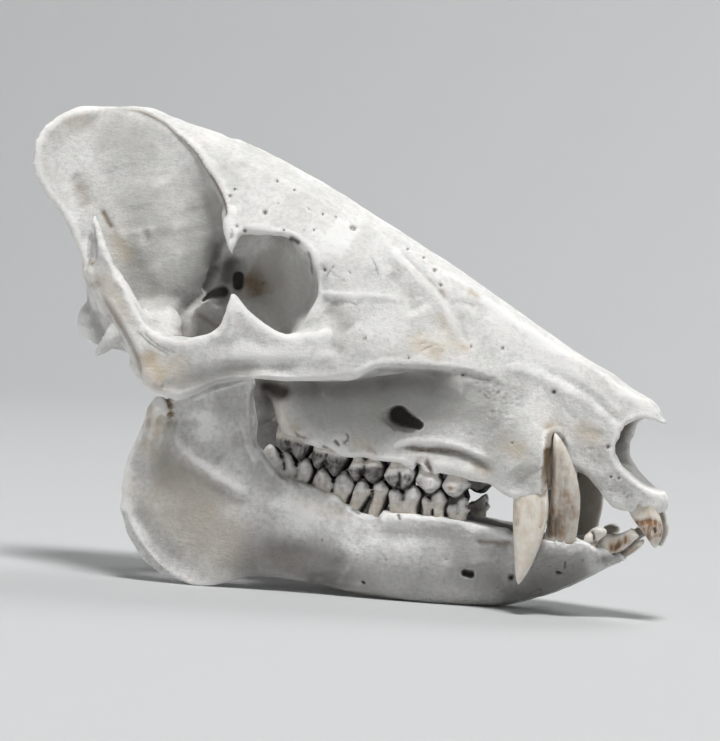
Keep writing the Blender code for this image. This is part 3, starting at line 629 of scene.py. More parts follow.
# What a line is for: surfaces so far from the skull's middle in mm, or that face the view at
# least so squarely, from 1 to -1. A blunt line doesn't fade towards its ends.
WALL = {"depth": (0, 33)}
ARCH = {"depth": (35, 60)}
EYE_WALL = {"depth": (0, 27)}
REAR = {"depth": (20, 60)}
GUM = {"depth": (8, 27)}
BLUNT = {"taper": False}
RIM = {"facing": -0.3}
EDGE = {"facing": -0.25}
WALL_EDGE = {"depth": (0, 33), "facing": -0.3}
ARCH_EDGE = {"depth": (33, 60), "facing": -0.3}
RECESS = {"depth": (0, 30)}
WALL_STEP = {"depth": (0, 34), "kind": "step", "facing": -0.2}

CREST = [(102, 109), (80, 111.5), (62, 116), (48, 127), (39, 141), (36.5, 157), (39, 175),
         (48, 193), (58, 204), (68, 219), (77, 236), (82, 252)]
TEMPORAL_LINE = [(118, 109.5), (142, 112), (163, 122), (176, 133), (190, 146), (200, 159),
                 (208, 172), (216, 184), (222, 196), (226, 208), (229, 222), (231, 238)]
ARCH_FRONT = [(95, 222), (108, 243), (122, 272), (134, 296), (151, 321), (167, 332), (183, 336),
              (220, 335)]
ARCH_BACK = [(99, 292), (110, 310), (122, 329), (133, 350), (139, 368), (141, 382)]
ARCH_UNDER = [(191, 391), (224, 379), (255, 375), (285, 379), (330, 378), (358, 376), (372, 368),
              (384, 366), (405, 367), (450, 368), (472, 371)]
ARCH_FRONT_UNDER = [(355, 378), (364, 373), (373, 368), (384, 366), (405, 367), (430, 368.5),
                    (455, 369.5), (472, 372), (488, 377), (500, 383)]
ORBIT_TOP = [(234, 252), (245, 246), (255, 238), (265, 234), (280, 231), (295, 235), (306, 244),
             (313, 257), (317, 272), (317, 288)]
ORBIT_LOW = [(237, 299), (247, 313), (262, 326), (278, 334), (287, 337), (297, 332), (306, 322),
             (312, 311), (315, 298)]
FACE_CREST = [(385, 246), (400, 257), (415, 271), (429, 286), (441, 302), (450, 320), (458, 341)]
NOSE_RIDGE = [(500, 370), (525, 371), (548, 380), (570, 393), (592, 406), (612, 419)]
NOSE_FURROW = [(540, 367), (560, 378), (580, 388), (600, 402), (615, 416), (626, 423)]
BUCCAL_RIDGE = [(392, 447), (405, 442.5), (420, 440.5), (440, 442), (460, 447), (475, 453),
                (492, 460)]
BUCCAL_FURROW = [(401, 447.5), (420, 449.5), (440, 450.5), (455, 452), (470, 457), (482, 464),
                 (491, 472)]
GUM_SWELL = [(431, 466), (445, 465), (460, 469), (475, 474)]
BEHIND_EYE = [(203, 300.5), (210, 295.5), (217, 293), (223, 292)]
FORAMEN = [(398.8, 415), (405, 419), (411.5, 422), (418.5, 424.8)]
FLANGE_EDGE = [(545.5, 438), (543, 455), (542, 475), (541.5, 490)]
TUSK_ARCH = [(545, 443), (548, 434), (555, 429.5), (562, 433), (567, 442), (570, 450)]
NOTCH_RIM = [(628, 422), (620, 433), (614, 446), (611, 457), (617, 468), (630, 480), (645, 491),
             (662, 500)]
SPECKS = [(235, 189, 0.45), (277.5, 181, 0.4), (272, 191, 0.3), (294.5, 190, 0.4),
          (265, 212, 0.75), (245, 231, 0.55), (237, 226, 0.4), (284, 230, 0.35), (314, 230, 0.35),
          (304, 230, 0.3), (230, 196, 0.4), (323, 214, 0.4), (336, 217, 0.3), (278, 203, 0.3),
          (309, 209, 0.25), (408, 249, 0.4), (424, 257.5, 0.45), (435, 270, 0.55),
          (441, 285, 0.5), (325, 270, 0.5), (350, 272, 0.35), (503, 348, 0.4), (554, 392, 0.7),
          (471, 346, 0.35), (409, 358, 0.35), (366, 338, 0.3), (608, 447, 0.6),
          (611, 477, 0.45), (619, 478, 0.45), (512, 443, 0.35), (463, 375, 0.35)]

# The front edge of the temporal wall, behind which the eye's hollow lies deeper
WALL_FRONT = [(231, 236), (223, 247), (219, 260), (217, 272), (211, 286), (201, 300), (190, 310),
              (187, 322), (188, 335)]

# Relief: line, width and height in mm
CRANIUM_FORMS = [
    # crest: a thick lip round its edge and a shallow hollow inside it
    (CREST, 1.5, 0.4, WALL_EDGE),
    ([(112, 120), (85, 122), (68, 129), (56, 142), (52, 158), (56, 178), (66, 198), (78, 222)],
     5.5, -0.9, WALL),
    # temporal line: the forehead steps up from the wall
    (TEMPORAL_LINE, 1.2, 0.6, WALL_STEP),
    (TEMPORAL_LINE[::-1], 1.2, -0.8, WALL_STEP),
    ([(150, 127), (172, 146), (190, 168), (204, 192), (212, 214), (216, 240)], 3.5, -0.6, WALL),
    ([(196, 205), (206, 232)], 4.5, -0.8, WALL),
    (WALL_FRONT[::-1], 2.2, -2.4, {"kind": "step", "depth": (0, 30), "facing": -0.2}),
    (WALL_FRONT, 1.3, 0.35, {"kind": "step", "depth": (0, 33), "facing": -0.2}),
    # wall: bulge in the middle, soft ridges and grooves towards the nape
    ([(160, 175), (166, 235)], 11, 1.1, WALL),
    ([(110, 150), (116, 170)], 10, 0.5, WALL),
    ([(74, 172), (82, 188), (90, 208)], 3.0, -0.8, WALL),
    ([(104, 196), (118, 224), (130, 254)], 2.6, 0.5, WALL),
    ([(135, 205), (138, 230)], 4.0, -0.6, WALL),
    ([(145, 230), (148.5, 243)], 0.9, -0.8, WALL),
    ([(124, 236), (140, 272), (160, 300)], 3.0, -0.5, WALL),
    ([(152, 262), (172, 300)], 4.0, 0.5, WALL),
    # root of the arch: sharp front edge, a lens-shaped hollow behind its spike
    (ARCH_FRONT, 1.1, 0.7, ARCH_EDGE),
    ([(101, 250), (116, 284), (134, 312), (156, 338)], 3.2, -0.8, ARCH),
    ([(92, 236), (91.5, 250), (91, 260)], 1.2, -1.1, REAR),
    ([(88, 272)], 2.4, 1.1, {"depth": (20, 60), "facing": -0.3}),
    (ARCH_BACK, 1.0, -0.6, ARCH),
    ([(107, 292), (120, 313), (133, 335), (144, 358)], 1.8, 0.6, ARCH),
    ([(150, 352), (176, 366), (206, 372)], 4.5, -0.6, ARCH),
    ([(170, 384), (200, 379), (226, 371), (262, 367), (300, 368)], 3.4, -1.3, ARCH),
    ([(148, 366), (152, 380), (160, 388)], 2.4, 0.5, ARCH),
    # arch: rounded band with a thin lower edge
    (ARCH_UNDER[2:], 0.9, 0.45, {"depth": (26, 60), "facing": -0.2}),
    ([(200, 356), (240, 357), (300, 356), (350, 357)], 3.0, 0.5, {"depth": (28, 60)}),
    ([(232, 306), (233, 328), (226, 340)], 1.6, 0.5, ARCH_EDGE),
    ([(241, 330), (262, 345), (285, 350)], 3.2, -0.5, ARCH),
    # orbit: thick rim, a ledge inside it
    (ORBIT_TOP, 1.0, 0.35, EDGE),
    (ORBIT_LOW, 1.0, 0.45, EDGE),
    ([(322, 262), (323, 285), (320, 300)], 2.2, -0.4),
    # face
    ([(316, 292), (345, 295.5), (372, 295), (402, 299)], 1.4, 0.6),
    ([(322, 300.5), (334, 302), (348, 303)], 1.5, -0.6),
    ([(326, 306), (340, 316), (352, 330)], 3.6, -1.1),
    ([(330, 345), (345, 350)], 2.6, -0.4),
    ([(330, 325), (320, 345), (326, 362)], 3.0, 0.5),
    ([(350, 282), (385, 280)], 4.0, -0.35),
    (FACE_CREST, 2.0, 1.1),
    ([(392, 270), (408, 290), (420, 312)], 4.0, -1.2),
    ([(400, 252), (414, 265), (428, 278), (441, 291), (449, 303)], 1.5, -0.9),
    ([(449, 302), (463, 301.5), (478, 306)], 0.9, -0.5),
    ([(462, 312), (464, 330), (470, 345)], 2.0, -0.5),
    ([(412, 318), (416, 340)], 4.5, -0.5),
    ([(440, 330), (436, 350)], 3.5, 0.4),
    ([(396, 268), (392, 262)], 1.2, -0.3),
    (NOSE_RIDGE, 2.4, 0.9),
    (NOSE_FURROW, 1.5, -0.7),
    ([(545, 394), (562, 406), (580, 420)], 1.8, -0.5),
    ([(560, 400), (585, 417), (606, 434)], 1.8, 0.3),
    ([(520, 410), (535, 425), (545, 440)], 4.0, 0.6),
    # recess under the arch, which its edge overhangs as far forward as the eye teeth
    (ARCH_FRONT_UNDER[::-1], 2.4, -1.6, {"kind": "step", "depth": (0, 40), "facing": 0.0}),
    (ARCH_FRONT_UNDER, 1.6, 0.7, {"kind": "step", "depth": (0, 45), "facing": 0.0}),
    ([(372, 384), (420, 384), (462, 386)], 6.0, -1.4, RECESS),
    ([(330, 395), (380, 392), (440, 398)], 7.0, -0.5, RECESS),
    ([(398, 434), (415, 440), (432, 438)], 2.2, -0.6, RECESS),
    ([(386, 405), (386, 416), (394, 426), (404, 433)], 1.0, 0.4, RECESS),
    ([(300, 428), (330, 436), (352, 448)], 3.5, 0.5, RECESS),
    ([(276, 400), (280, 415), (284, 430)], 2.0, 0.4, RECESS),
    # ridge over the premolars, furrow and swelling below it
    (BUCCAL_RIDGE, 1.5, 1.3, RECESS),
    (BUCCAL_FURROW, 1.2, -1.3, {**RECESS, "ends": (0.5, 1.5)}),
    (GUM_SWELL, 2.4, 0.7, RECESS),
    ([(352, 452), (372, 456), (392, 458), (410, 460)], 1.4, 0.6, RECESS),
    # flange in front of which the lower tusk runs, and the bone that arches over its tip
    (FLANGE_EDGE, 0.9, 0.45, EDGE),
    ([(508, 490), (518, 494.5), (530, 494)], 1.0, 0.4, EDGE),
    ([(462, 392), (480, 398), (498, 406)], 5.0, -1.1),
    ([(516, 462), (526, 478)], 5.0, 0.6),
    ([(494, 424), (506, 444), (512, 464)], 4.0, -0.6),
    ([(532, 452), (533, 480)], 2.4, -0.4),
    (TUSK_ARCH, 1.2, 0.7, EDGE),
    ([(562, 436), (566, 447)], 0.5, -0.6),
    # snout
    (NOTCH_RIM, 0.9, 0.5, EDGE),
    ([(580, 432), (594, 434), (606, 440)], 2.2, -0.4),
    ([(594, 400), (606, 410), (620, 421)], 0.6, -0.3),
    ([(570, 462), (590, 470), (606, 480)], 2.4, 0.4),
    ([(610, 501), (626, 505)], 1.8, 0.5, {"facing": -0.5}),
    ([(660, 497), (663, 509)], 1.2, 0.5, EDGE),
]

# Edges to pull: line, width, and how far ahead and up in mm
CRANIUM_SHIFTS = [
    ([(352, 461), (372, 465), (392, 468), (408, 470)], 3.0, (0, 1.9), GUM),
    ([(414, 471), (423, 473)], 1.9, (0, 2.8), GUM),
    ([(436, 477), (452, 480), (468, 483)], 2.0, (0, 1.3), GUM),
    ([(549, 446), (548, 466), (546, 488)], 1.7, (-1.5, 0), {"depth": (18, 40)}),
    ([(658, 401), (664, 406), (670, 411)], 1.9, (-0.5, -2.7), BLUNT),
    ([(661, 413), (670, 420)], 2.2, (-0.7, -1.5), BLUNT),
    ([(667, 498), (669, 510)], 2.6, (-1.3, 0.2), BLUNT),
    ([(150, 110), (180, 117), (210, 127), (240, 139)], 6.0, (0, -1.4)),
    ([(430, 251), (480, 285), (540, 327), (600, 368), (636, 390)], 6.0, (0.4, 0.9)),
]

# Edges that grown bone doesn't have: the rim of the recess behind the eye
CRANIUM_SOFT = [
    ([(234, 260), (243, 270), (246, 286), (240, 300)], 2.6, 1.0, EYE_WALL),
    ([(222, 262), (228, 280), (226, 298)], 3.0, 0.6, EYE_WALL),
    ([(293, 238), (293, 262), (293, 288), (292, 326)], 4.0, 1.0,
     {"depth": (0, 45), "facing": -0.9, "taper": False}),
]

# Cracks and holes: line, width, height, then the width and strength of their soil and painted shade
CRANIUM_CRACKS = [
    *[([(x, y)], size, -1.5 * size - 0.3, size * 0.8, 0.85, {}) for x, y, size in SPECKS],
    ([(210, 173), (218, 187), (224, 200), (227, 214), (228, 232)], 0.35, -0.35, 0.3, 0.4, WALL),
    ([(93, 224), (95.5, 240), (96.5, 256), (93, 267)], 0.35, -0.5, 0.4, 0.25, REAR),
    ([(308, 251), (311, 262), (312.5, 276)], 0.4, -0.5, 0.35, 0.6, {"depth": (10, 40)}),
    ([(335, 441), (337, 443), (339, 446)], 0.5, -0.9, 0.5, 0.8, RECESS),
    ([(346, 433), (348.5, 437), (347, 441), (343, 443)], 0.35, -0.5, 0.3, 0.5, RECESS),
    ([(322, 446), (328, 449), (333, 452)], 0.5, -0.7, 0.5, 0.6, RECESS),
]
NAPE_HOLE = [(102, 210), (107, 220), (112, 229)]
LACRIMAL_HOLE = [(289, 238), (294, 240), (300, 244)]
OPTIC_HOLE = [(238.5, 277), (238, 285)]
OPTIC_SHAPE = {"kind": "flat", "depth": (0, 22), "taper": False}
BEHIND_EYE_SHAPE = {"kind": "flat", "depth": (0, 28), "ends": (0.25, 1.1), "taper": False}
FORAMEN_SHAPE = {"kind": "hole", "depth": (0, 30), "taper": False, "ends": (1, 0.5)}
FORAMEN_FLOOR = [(FORAMEN, 2.5, 0.8, {**FORAMEN_SHAPE, "facing": -2})]

CRANIUM_LINES = [
    *carved(CRANIUM_CRACKS),
    (TEMPORAL_LINE, 0.45, 0.3, WALL_EDGE),
    (NAPE_HOLE, 0.8, -0.6, WALL),
    (FORAMEN, 3.4, -3.0, FORAMEN_SHAPE),
    (OPTIC_HOLE, 1.8, -1.0, {**OPTIC_SHAPE, "facing": -0.5}),
    (BEHIND_EYE, 2.2, -0.8, {**BEHIND_EYE_SHAPE, "facing": -0.5}),
    ([(351, 225), (353, 227.5), (357, 228)], 0.8, -1.4),
    ([(90, 232), (88.5, 248), (88.5, 262)], 0.35, -0.4, REAR),
    ([(137, 332), (150, 344), (168, 355)], 0.4, -0.35, ARCH),
    ([(143, 333), (158, 346), (176, 354)], 0.35, -0.3, ARCH),
    ([(326, 277), (329, 272), (330, 269), (334, 265)], 0.3, -0.25),
    ([(331, 272), (336, 274), (339, 278), (346, 280)], 0.3, -0.25),
    ([(373, 258), (374, 263), (377, 268), (378, 276)], 0.3, -0.25),
    ([(343, 301), (350, 303), (358, 306)], 0.3, -0.25),
    ([(388, 260), (394, 268), (400, 272)], 0.4, -0.25),
    (LACRIMAL_HOLE, 0.7, -1.0, {"depth": (10, 40), "facing": -0.5}),
    ([(420, 352), (430, 347), (438, 344)], 0.35, -0.3),
    ([(419, 345), (428, 342)], 0.3, -0.25),
    ([(469, 290), (473, 294), (478, 297)], 0.6, -0.3),
    ([(295, 432), (299, 436), (306, 438)], 0.4, -0.5, RECESS),
    ([(368, 447), (374, 450), (377, 456)], 0.35, -0.3, RECESS),
    ([(426, 459), (429, 467), (432, 472)], 0.5, -0.8, RECESS),
    ([(565, 455), (572, 465), (582, 474)], 0.4, -0.3),
    ([(655, 511), (657, 516)], 0.5, -0.8, EDGE),
]

# Where the bone is rough: line, width, height of the roughness, its size in millimetres
CRANIUM_ROUGH = [
    ([(472, 386), (500, 392), (524, 396)], 5.0, 0.45, 1.5),
    ([(480, 410), (505, 418), (520, 430)], 4.5, 0.3, 1.4),
    ([(455, 432), (490, 440), (520, 462)], 3.5, 0.2, 1.3),
    ([(606, 484), (620, 490), (634, 497)], 3.0, 0.4, 1.2),
    ([(580, 446), (600, 462)], 4.0, 0.35, 1.3),
    ([(536, 446), (541, 486)], 2.2, 0.25, 1.0),
    ([(520, 480), (536, 486)], 2.6, 0.25, 1.2),
    ([(556, 372), (590, 390)], 4.0, 0.14, 1.6),
    ([(196, 290), (180, 322)], 4.0, 0.15, 1.8),
]

# Stains and painted shade by their mark: line, width in mm and strength
CRANIUM_STAINS_AND_SHADE = {
    "brown": [
        ([(78, 180), (83, 192), (88, 206)], 3.5, 0.28, WALL),
        (NAPE_HOLE, 0.9, 0.75, WALL),
        (TEMPORAL_LINE, 0.45, 0.5, WALL_EDGE),
        ([(101, 296), (112, 313), (124, 332), (135, 353), (140, 370), (142, 383)], 1.4, 0.4,
         {"depth": (25, 60), "facing": -0.3}),
        ([(88, 262), (93, 265)], 1.2, 0.8, REAR),
        ([(94, 281), (98, 288)], 1.6, 0.6, REAR),
        ([(152, 383), (164, 388)], 1.6, 0.6, {"depth": (25, 60)}),
        ([(195, 312), (222, 330)], 1.0, 0.4, {"depth": (0, 60)}),
        ([(23, -24), (23, -42)], 5.0, 1.0,
         {"view": "front", "along": (66, 80), "facing": 0.3, "taper": False}),
        ([(576, 474), (586, 482), (597, 492)], 1.6, 0.9, {"facing": -0.6}),
        ([(262, 384), (280, 393), (286, 396)], 3.0, 0.8, {"facing": -0.9}),
        ([(404, 448), (425, 451), (440, 451.5), (456, 453), (470, 459)], 1.2, 0.2, RECESS),
        ([(296, 432), (300, 437), (312, 440)], 1.0, 0.5, RECESS),
        ([(368, 448), (376, 455)], 1.2, 0.35, RECESS),
        ([(460, 376), (468, 374)], 1.2, 0.5, {"depth": (0, 36)}),
        ([(427, 462), (431, 470)], 0.8, 0.6, RECESS),
        ([(440, 288), (444, 298)], 0.9, 0.35),
        ([(412, 268), (426, 280), (440, 294)], 0.7, 0.3),
        ([(608, 470), (620, 474)], 1.0, 0.2),
        ([(244, 276), (254, 284), (258, 298)], 4.8, 0.7, {"depth": (0, 30), "facing": -0.6}),
    ],
    "tan": [
        ([(110, 232), (122, 248), (130, 262)], 3.0, 0.45, WALL),
        ([(60, 122), (90, 116)], 3.0, 0.25, WALL_EDGE),
        ([(100, 270), (112, 296), (128, 326)], 3.2, 0.4, ARCH),
        ([(146, 350), (152, 368), (160, 384)], 4.2, 0.75, ARCH),
        ([(168, 360), (186, 374)], 4.0, 0.4, ARCH),
        ([(150, 398), (156, 412)], 3.0, 0.4),
        ([(410, 338), (430, 348), (446, 352)], 3.6, 0.55),
        ([(440, 312), (452, 340), (466, 350)], 2.6, 0.35),
        ([(468, 290), (478, 297)], 0.9, 0.55),
        ([(461, 346), (470, 350)], 1.2, 0.5),
        ([(545, 425), (556, 432)], 3.0, 0.5, EDGE),
        ([(575, 426), (600, 440)], 3.2, 0.4),
        ([(500, 444), (528, 452)], 3.5, 0.35),
        ([(470, 466), (492, 474)], 2.4, 0.45),
        ([(272, 404), (285, 425), (300, 432)], 2.5, 0.55, RECESS),
        ([(350, 440), (375, 450)], 2.5, 0.3, RECESS),
        ([(84, 275)], 3.0, 0.4, {"depth": (15, 60)}),
        ([(246, 230), (254, 236)], 1.2, 0.2),
        ([(640, 398), (650, 405)], 2.0, 0.2),
    ],
    # Grey: mostly painted shade, first on the wall, which is lit less than the forehead, and under
    # the crest
    "grey": [
        ([(110, 140), (150, 200), (170, 290)], 22, 0.35, WALL),
        ([(100, 135), (130, 150), (160, 150)], 9, 0.5, WALL),
        ([(130, 190), (140, 220), (150, 250)], 8, 0.55, WALL),
        ([(190, 200), (204, 225), (200, 250)], 6, 0.9, WALL),
        ([(120, 262), (150, 280), (178, 300)], 8, 0.4, WALL),
        ([(90, 130), (110, 142)], 4, 0.4, WALL),
        ([(160, 262), (180, 300)], 8, 0.4, WALL),
        ([(180, 170), (190, 190)], 5, 0.3, WALL),
        # Painted shade in the eye's hollow and under the face's ridge
        ([(250, 262), (285, 290), (262, 310)], 11, 0.9, {"depth": (0, 40), "facing": -0.6}),
        ([(320, 262), (324, 282)], 1.8, 0.5),
        ([(328, 304), (342, 322), (350, 330)], 2.6, 0.6),
        ([(338, 346), (350, 352)], 2.0, 0.3),
        ([(392, 266), (402, 276)], 3.0, 0.3),
        # Painted shadow of the arch over the recess, and painted shade ahead of it and on the flange
        ([(292, 395), (350, 396), (400, 396), (462, 402)], 9, 1.5, RECESS),
        ([(300, 414), (330, 416), (370, 424), (430, 424)], 8, 0.4, RECESS),
        ([(475, 385), (500, 392), (530, 398)], 5, 0.45),
        ([(480, 410), (505, 422)], 5, 0.4),
        ([(516, 478), (538, 486)], 3.4, 0.45),
        ([(496, 430), (518, 458), (534, 480)], 7.5, 0.95),
        ([(450, 392), (480, 404), (504, 420)], 7.5, 0.8),
        ([(575, 420), (600, 440), (604, 470)], 6.0, 0.35),
        # Painted shade on the arch's lower part, which faces down
        ([(160, 380), (185, 382), (205, 378), (232, 371), (262, 367)], 4.5, 0.6, ARCH),
        ([(176, 392), (191, 389), (210, 384), (232, 378), (252, 375)], 2.2, 1.0,
         {"depth": (26, 60), "facing": -0.6}),
        # Painted shade on the wall's front part, which faces away from the light
        ([(200, 300), (214, 318), (222, 332)], 4.0, 0.5, WALL),
        ([(200, 196), (207, 222), (204, 250), (190, 290)], 6.5, 1.0, WALL),
        ([(140, 214), (146, 232)], 5.0, 0.4, WALL),
        # Painted light: paler where the light falls fully on the face, the snout and the arch
        ([(330, 225), (355, 240)], 9.0, -0.45),
        ([(370, 315), (400, 345)], 9.0, -0.35),
        ([(440, 335), (480, 345)], 5.0, -0.35),
        ([(480, 310), (540, 352), (585, 385)], 6.0, -0.5),
        ([(230, 352), (262, 352), (310, 350)], 4.0, -0.4, ARCH),
        # Painted shade in the furrow under the snout's ridge and on the snout's side
        ([(545, 400), (570, 422), (590, 436)], 2.4, 0.35),
        ([(610, 484), (632, 496)], 2.4, 0.5),
        ([(620, 410), (640, 402)], 2.0, 0.2),
        ([(590, 450), (604, 462)], 3.0, 0.35),
        # Painted shade round the occipital condyle
        ([(96, 310), (92, 330)], 4.0, 0.7, {"facing": -0.5}),
        ([(112, 330), (98, 352)], 3.0, 0.6, {"facing": -0.5}),
    ],
    # Dark: soil in cracks, then painted shade in holes, furrows, slots between the roots and recesses
    "dark": [
        *crack_soil_and_shade(CRANIUM_CRACKS),
        ([(351, 225.5), (353, 227.5), (356, 228)], 0.6, 0.6),
        ([(231.5, 228), (231.5, 238)], 0.3, 0.6, EDGE),
        ([(91.5, 232), (91, 248), (90, 262)], 1.1, 0.2, REAR),
        ([(326, 277), (330, 271), (334, 265)], 0.3, 0.45),
        ([(331, 272), (338, 277), (346, 280)], 0.3, 0.35),
        ([(373, 258), (376, 267), (379, 276)], 0.3, 0.45),
        (LACRIMAL_HOLE, 0.8, 0.9, {"depth": (5, 40), "facing": -0.9}),
        (OPTIC_HOLE, 1.7, 1.0, {**OPTIC_SHAPE, "facing": -2}),
        (BEHIND_EYE, 2.1, 0.85, {**BEHIND_EYE_SHAPE, "facing": -2}),
        # Painted shade in the eye's hollow
        ([(243, 254), (252, 285), (250, 306)], 7.0, 0.36, {"depth": (0, 38), "facing": -0.6}),
        ([(264, 283)], 0.5, 0.6, EYE_WALL),
        ([(272, 292)], 0.4, 0.5, EYE_WALL),
        (BUCCAL_FURROW, 1.1, 0.35, {**RECESS, "ends": (0.5, 1.6)}),
        ([(562, 436), (566, 447)], 0.4, 0.5),
        (FORAMEN, 3.3, 0.85, {**FORAMEN_SHAPE, "facing": -2}),
        # Painted shade under the arch, in the recess, on the flange, behind the wall's edge and
        # behind the jaw
        ([(296, 402), (350, 406), (400, 402), (460, 406)], 9.0, 0.2,
         {"depth": (0, 33), "facing": -0.6}),
        ([(518, 462), (532, 476)], 6.0, 0.14),
        ([(160, 384), (190, 384), (212, 379), (240, 373)], 2.6, 0.25, ARCH),
        (WALL_FRONT[::-1], 3.2, 0.45, {"kind": "step", "depth": (0, 31), "facing": -0.9}),
        ([(216, 274), (223, 262), (228, 286)], 4.5, 0.4, {"depth": (0, 30), "facing": -0.9}),
        ([(264, 386), (274, 389), (283, 393)], 2.3, 0.75,
         {"depth": (0, 40), "facing": -2, "ends": (0.8, 1), "taper": False}),
        ([(262, 392), (264, 410), (265, 440)], 4.5, 0.5, {"depth": (0, 40), "facing": -0.9}),
        ([(232, 250), (230, 270), (224, 286)], 3.6, 0.3, {"depth": (0, 26), "facing": -0.9}),
        ([(258, 386), (300, 388), (350, 386), (400, 380), (462, 382)], 5.0, 0.55,
         {"depth": (0, 33), "facing": -0.6}),
        ([(415, 473), (417, 466), (419.5, 457)], 0.5, 1.0, RECESS),
        ([(424, 461), (428, 467), (432, 473)], 0.45, 0.9, RECESS),
    ],
}


# Painted shade lies where a face looks inwards by the first share, fully by the second, and it
# fades in over this many mm from the depth that stays clear
INWARD = (0.1, 0.6)
INNER_SHADE_FADE = 3
# Rounds of smoothing that tell how deep a hollow is
BONE_ROUNDS = 14
TOOTH_ROUNDS = 12


def paint_inner_shade(surface, strength, clear=0.0):
    """Darken faces that look towards the skull's middle as painted shade, not those on the middle."""
    inward = smoothstep(*INWARD, surface.turned[:, 1])
    shown = surface.marks.setdefault("dark", np.zeros(len(surface.points)))
    shown += strength * inward * smoothstep(clear, clear + INNER_SHADE_FADE, surface.depth)


def finish_surface(surface, rounds, deep_share):
    """Stand the piece on the floor, and write the marks that follow from its shape."""
    surface.points[:, 2] = np.maximum(surface.points[:, 2], 0.0)
    put_coordinates(surface.obj.data, surface.points)
    # The hollows give painted shade and highlights, and deep_share painted shade in shut-in places
    surface.marks["hollow"] = surface.hollows(rounds)
    surface.marks["deep"] = deep_share
    surface.write_marks()
    surface.obj.data.shade_smooth()


def dress(obj, material, node):
    """Give a piece its finish and its place in the record, and hide the node that it stands for."""
    obj.data.materials.clear()
    obj.data.materials.append(material)
    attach(obj, BODY)
    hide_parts(node)
    obj.data.update()


# How shut in a point is gets tested on a coarse copy, by rays. Sizes are in mm, and a ray leaves
# a face only if it looks along the face's normal by this share.
COARSE_GRAIN = 2.6
RAY_COUNT = 20
RAY_START = 0.6
RAY_REACH = 60
RAY_FACING = 0.15


def ray_ways():
    """Ways evenly spread over all directions, with the height of each."""
    golden = math.pi * (3 - math.sqrt(5))
    for k in range(RAY_COUNT):
        height = 1 - 2 * (k + 0.5) / RAY_COUNT
        across = math.sqrt(1 - height * height)
        yield Vector((across * math.cos(golden * k), across * math.sin(golden * k), height)), height


def buried(surface):
    """How shut in each point is, from 0 on the open surface to 1 deep inside, for painted shade."""
    add_skin(surface.obj, COARSE_GRAIN)
    coarse = evaluated(surface.obj)
    points = coordinates(coarse)
    outward = normals(coarse)
    tree = BVHTree.FromPolygons([Vector(p) for p in points],
                                [tuple(face.vertices) for face in coarse.polygons])
    shut = np.zeros(len(points))
    most = 0.0
    for way, height in ray_ways():
        most += max(0.0, height)
        facing = outward @ np.array(way)
        for i in np.nonzero(facing > RAY_FACING)[0]:
            start = Vector(points[i] + outward[i] * RAY_START * MM)
            if tree.ray_cast(start, way, RAY_REACH * MM)[0] is not None:
                shut[i] += facing[i]
    shut = np.clip(shut / most, 0, 1)[:, None]
    ends = edge_ends(coarse)
    for _ in range(2):
        shut = 0.5 * shut + 0.5 * averaged(shut, ends)
    finder = KDTree(len(points))
    for i, point in enumerate(points):
        finder.insert(point, i)
    finder.balance()
    values = shut[[finder.find(point)[1] for point in surface.points]]
    ends = edge_ends(surface.obj.data)
    for _ in range(3):
        values = averaged(values, ends)
    bpy.data.meshes.remove(coarse)
    return values[:, 0]


def shape_bone(node, grain, smoothing, shifts, soft, forms, waves, lines, patches):
    """A bone's fine surface, worked from its largest forms to its smallest."""
    surface = Surface(fine_copy(node + "_bone", node, grain))
    relax(surface.obj.data, smoothing)
    surface.read()
    surface.shift_edges(shifts)
    surface.soften(*soft)
    surface.raise_lines(forms)
    surface.undulate(*waves)
    surface.refine(lines, patches)
    surface.roughen(patches)
    surface.raise_lines(lines)
    return surface


def colour_bone(surface, stains_and_shade, soil_and_shade, colours, node, slot):
    """Mark a bone, paint shade on its inner faces and give it its finish, named for its slot."""
    for mark, strokes in stains_and_shade.items():
        surface.stain_and_shade(mark, strokes)
    paint_inner_shade(surface, *soil_and_shade)
    finish_surface(surface, BONE_ROUNDS, buried(surface))
    dress(surface.obj, bone_finish("dry_" + slot, *colours), node)


def chosen_colours(settings, *names):
    """Colours that the user can change, as plain tuples."""
    return [tuple(getattr(settings, name)) for name in names]


# Rounds of melting the cranium's rim and the floor of its foramen, its unevenness as size and
# height in mm, and its painted inner shade's strength and the depth in mm that stays clear of it
CRANIUM_MELTING = 40
FORAMEN_MELTING = 10
CRANIUM_WAVES = (9.0, 0.22)
CRANIUM_INNER_SHADE = (0.15, 9.0)


def build_cranium(settings):
    """The cranium's fine surface."""
    surface = shape_bone("cranium", settings.cranium_grain, settings.smoothing, CRANIUM_SHIFTS,
                         (CRANIUM_SOFT, CRANIUM_MELTING), CRANIUM_FORMS, CRANIUM_WAVES,
                         CRANIUM_LINES, CRANIUM_ROUGH)
    surface.soften(FORAMEN_FLOOR, FORAMEN_MELTING)
    colours = chosen_colours(settings, "bone_light", "bone_grey", "bone_brown", "bone_tan")
    colour_bone(surface, CRANIUM_STAINS_AND_SHADE, CRANIUM_INNER_SHADE, colours, "cranium", "bone")


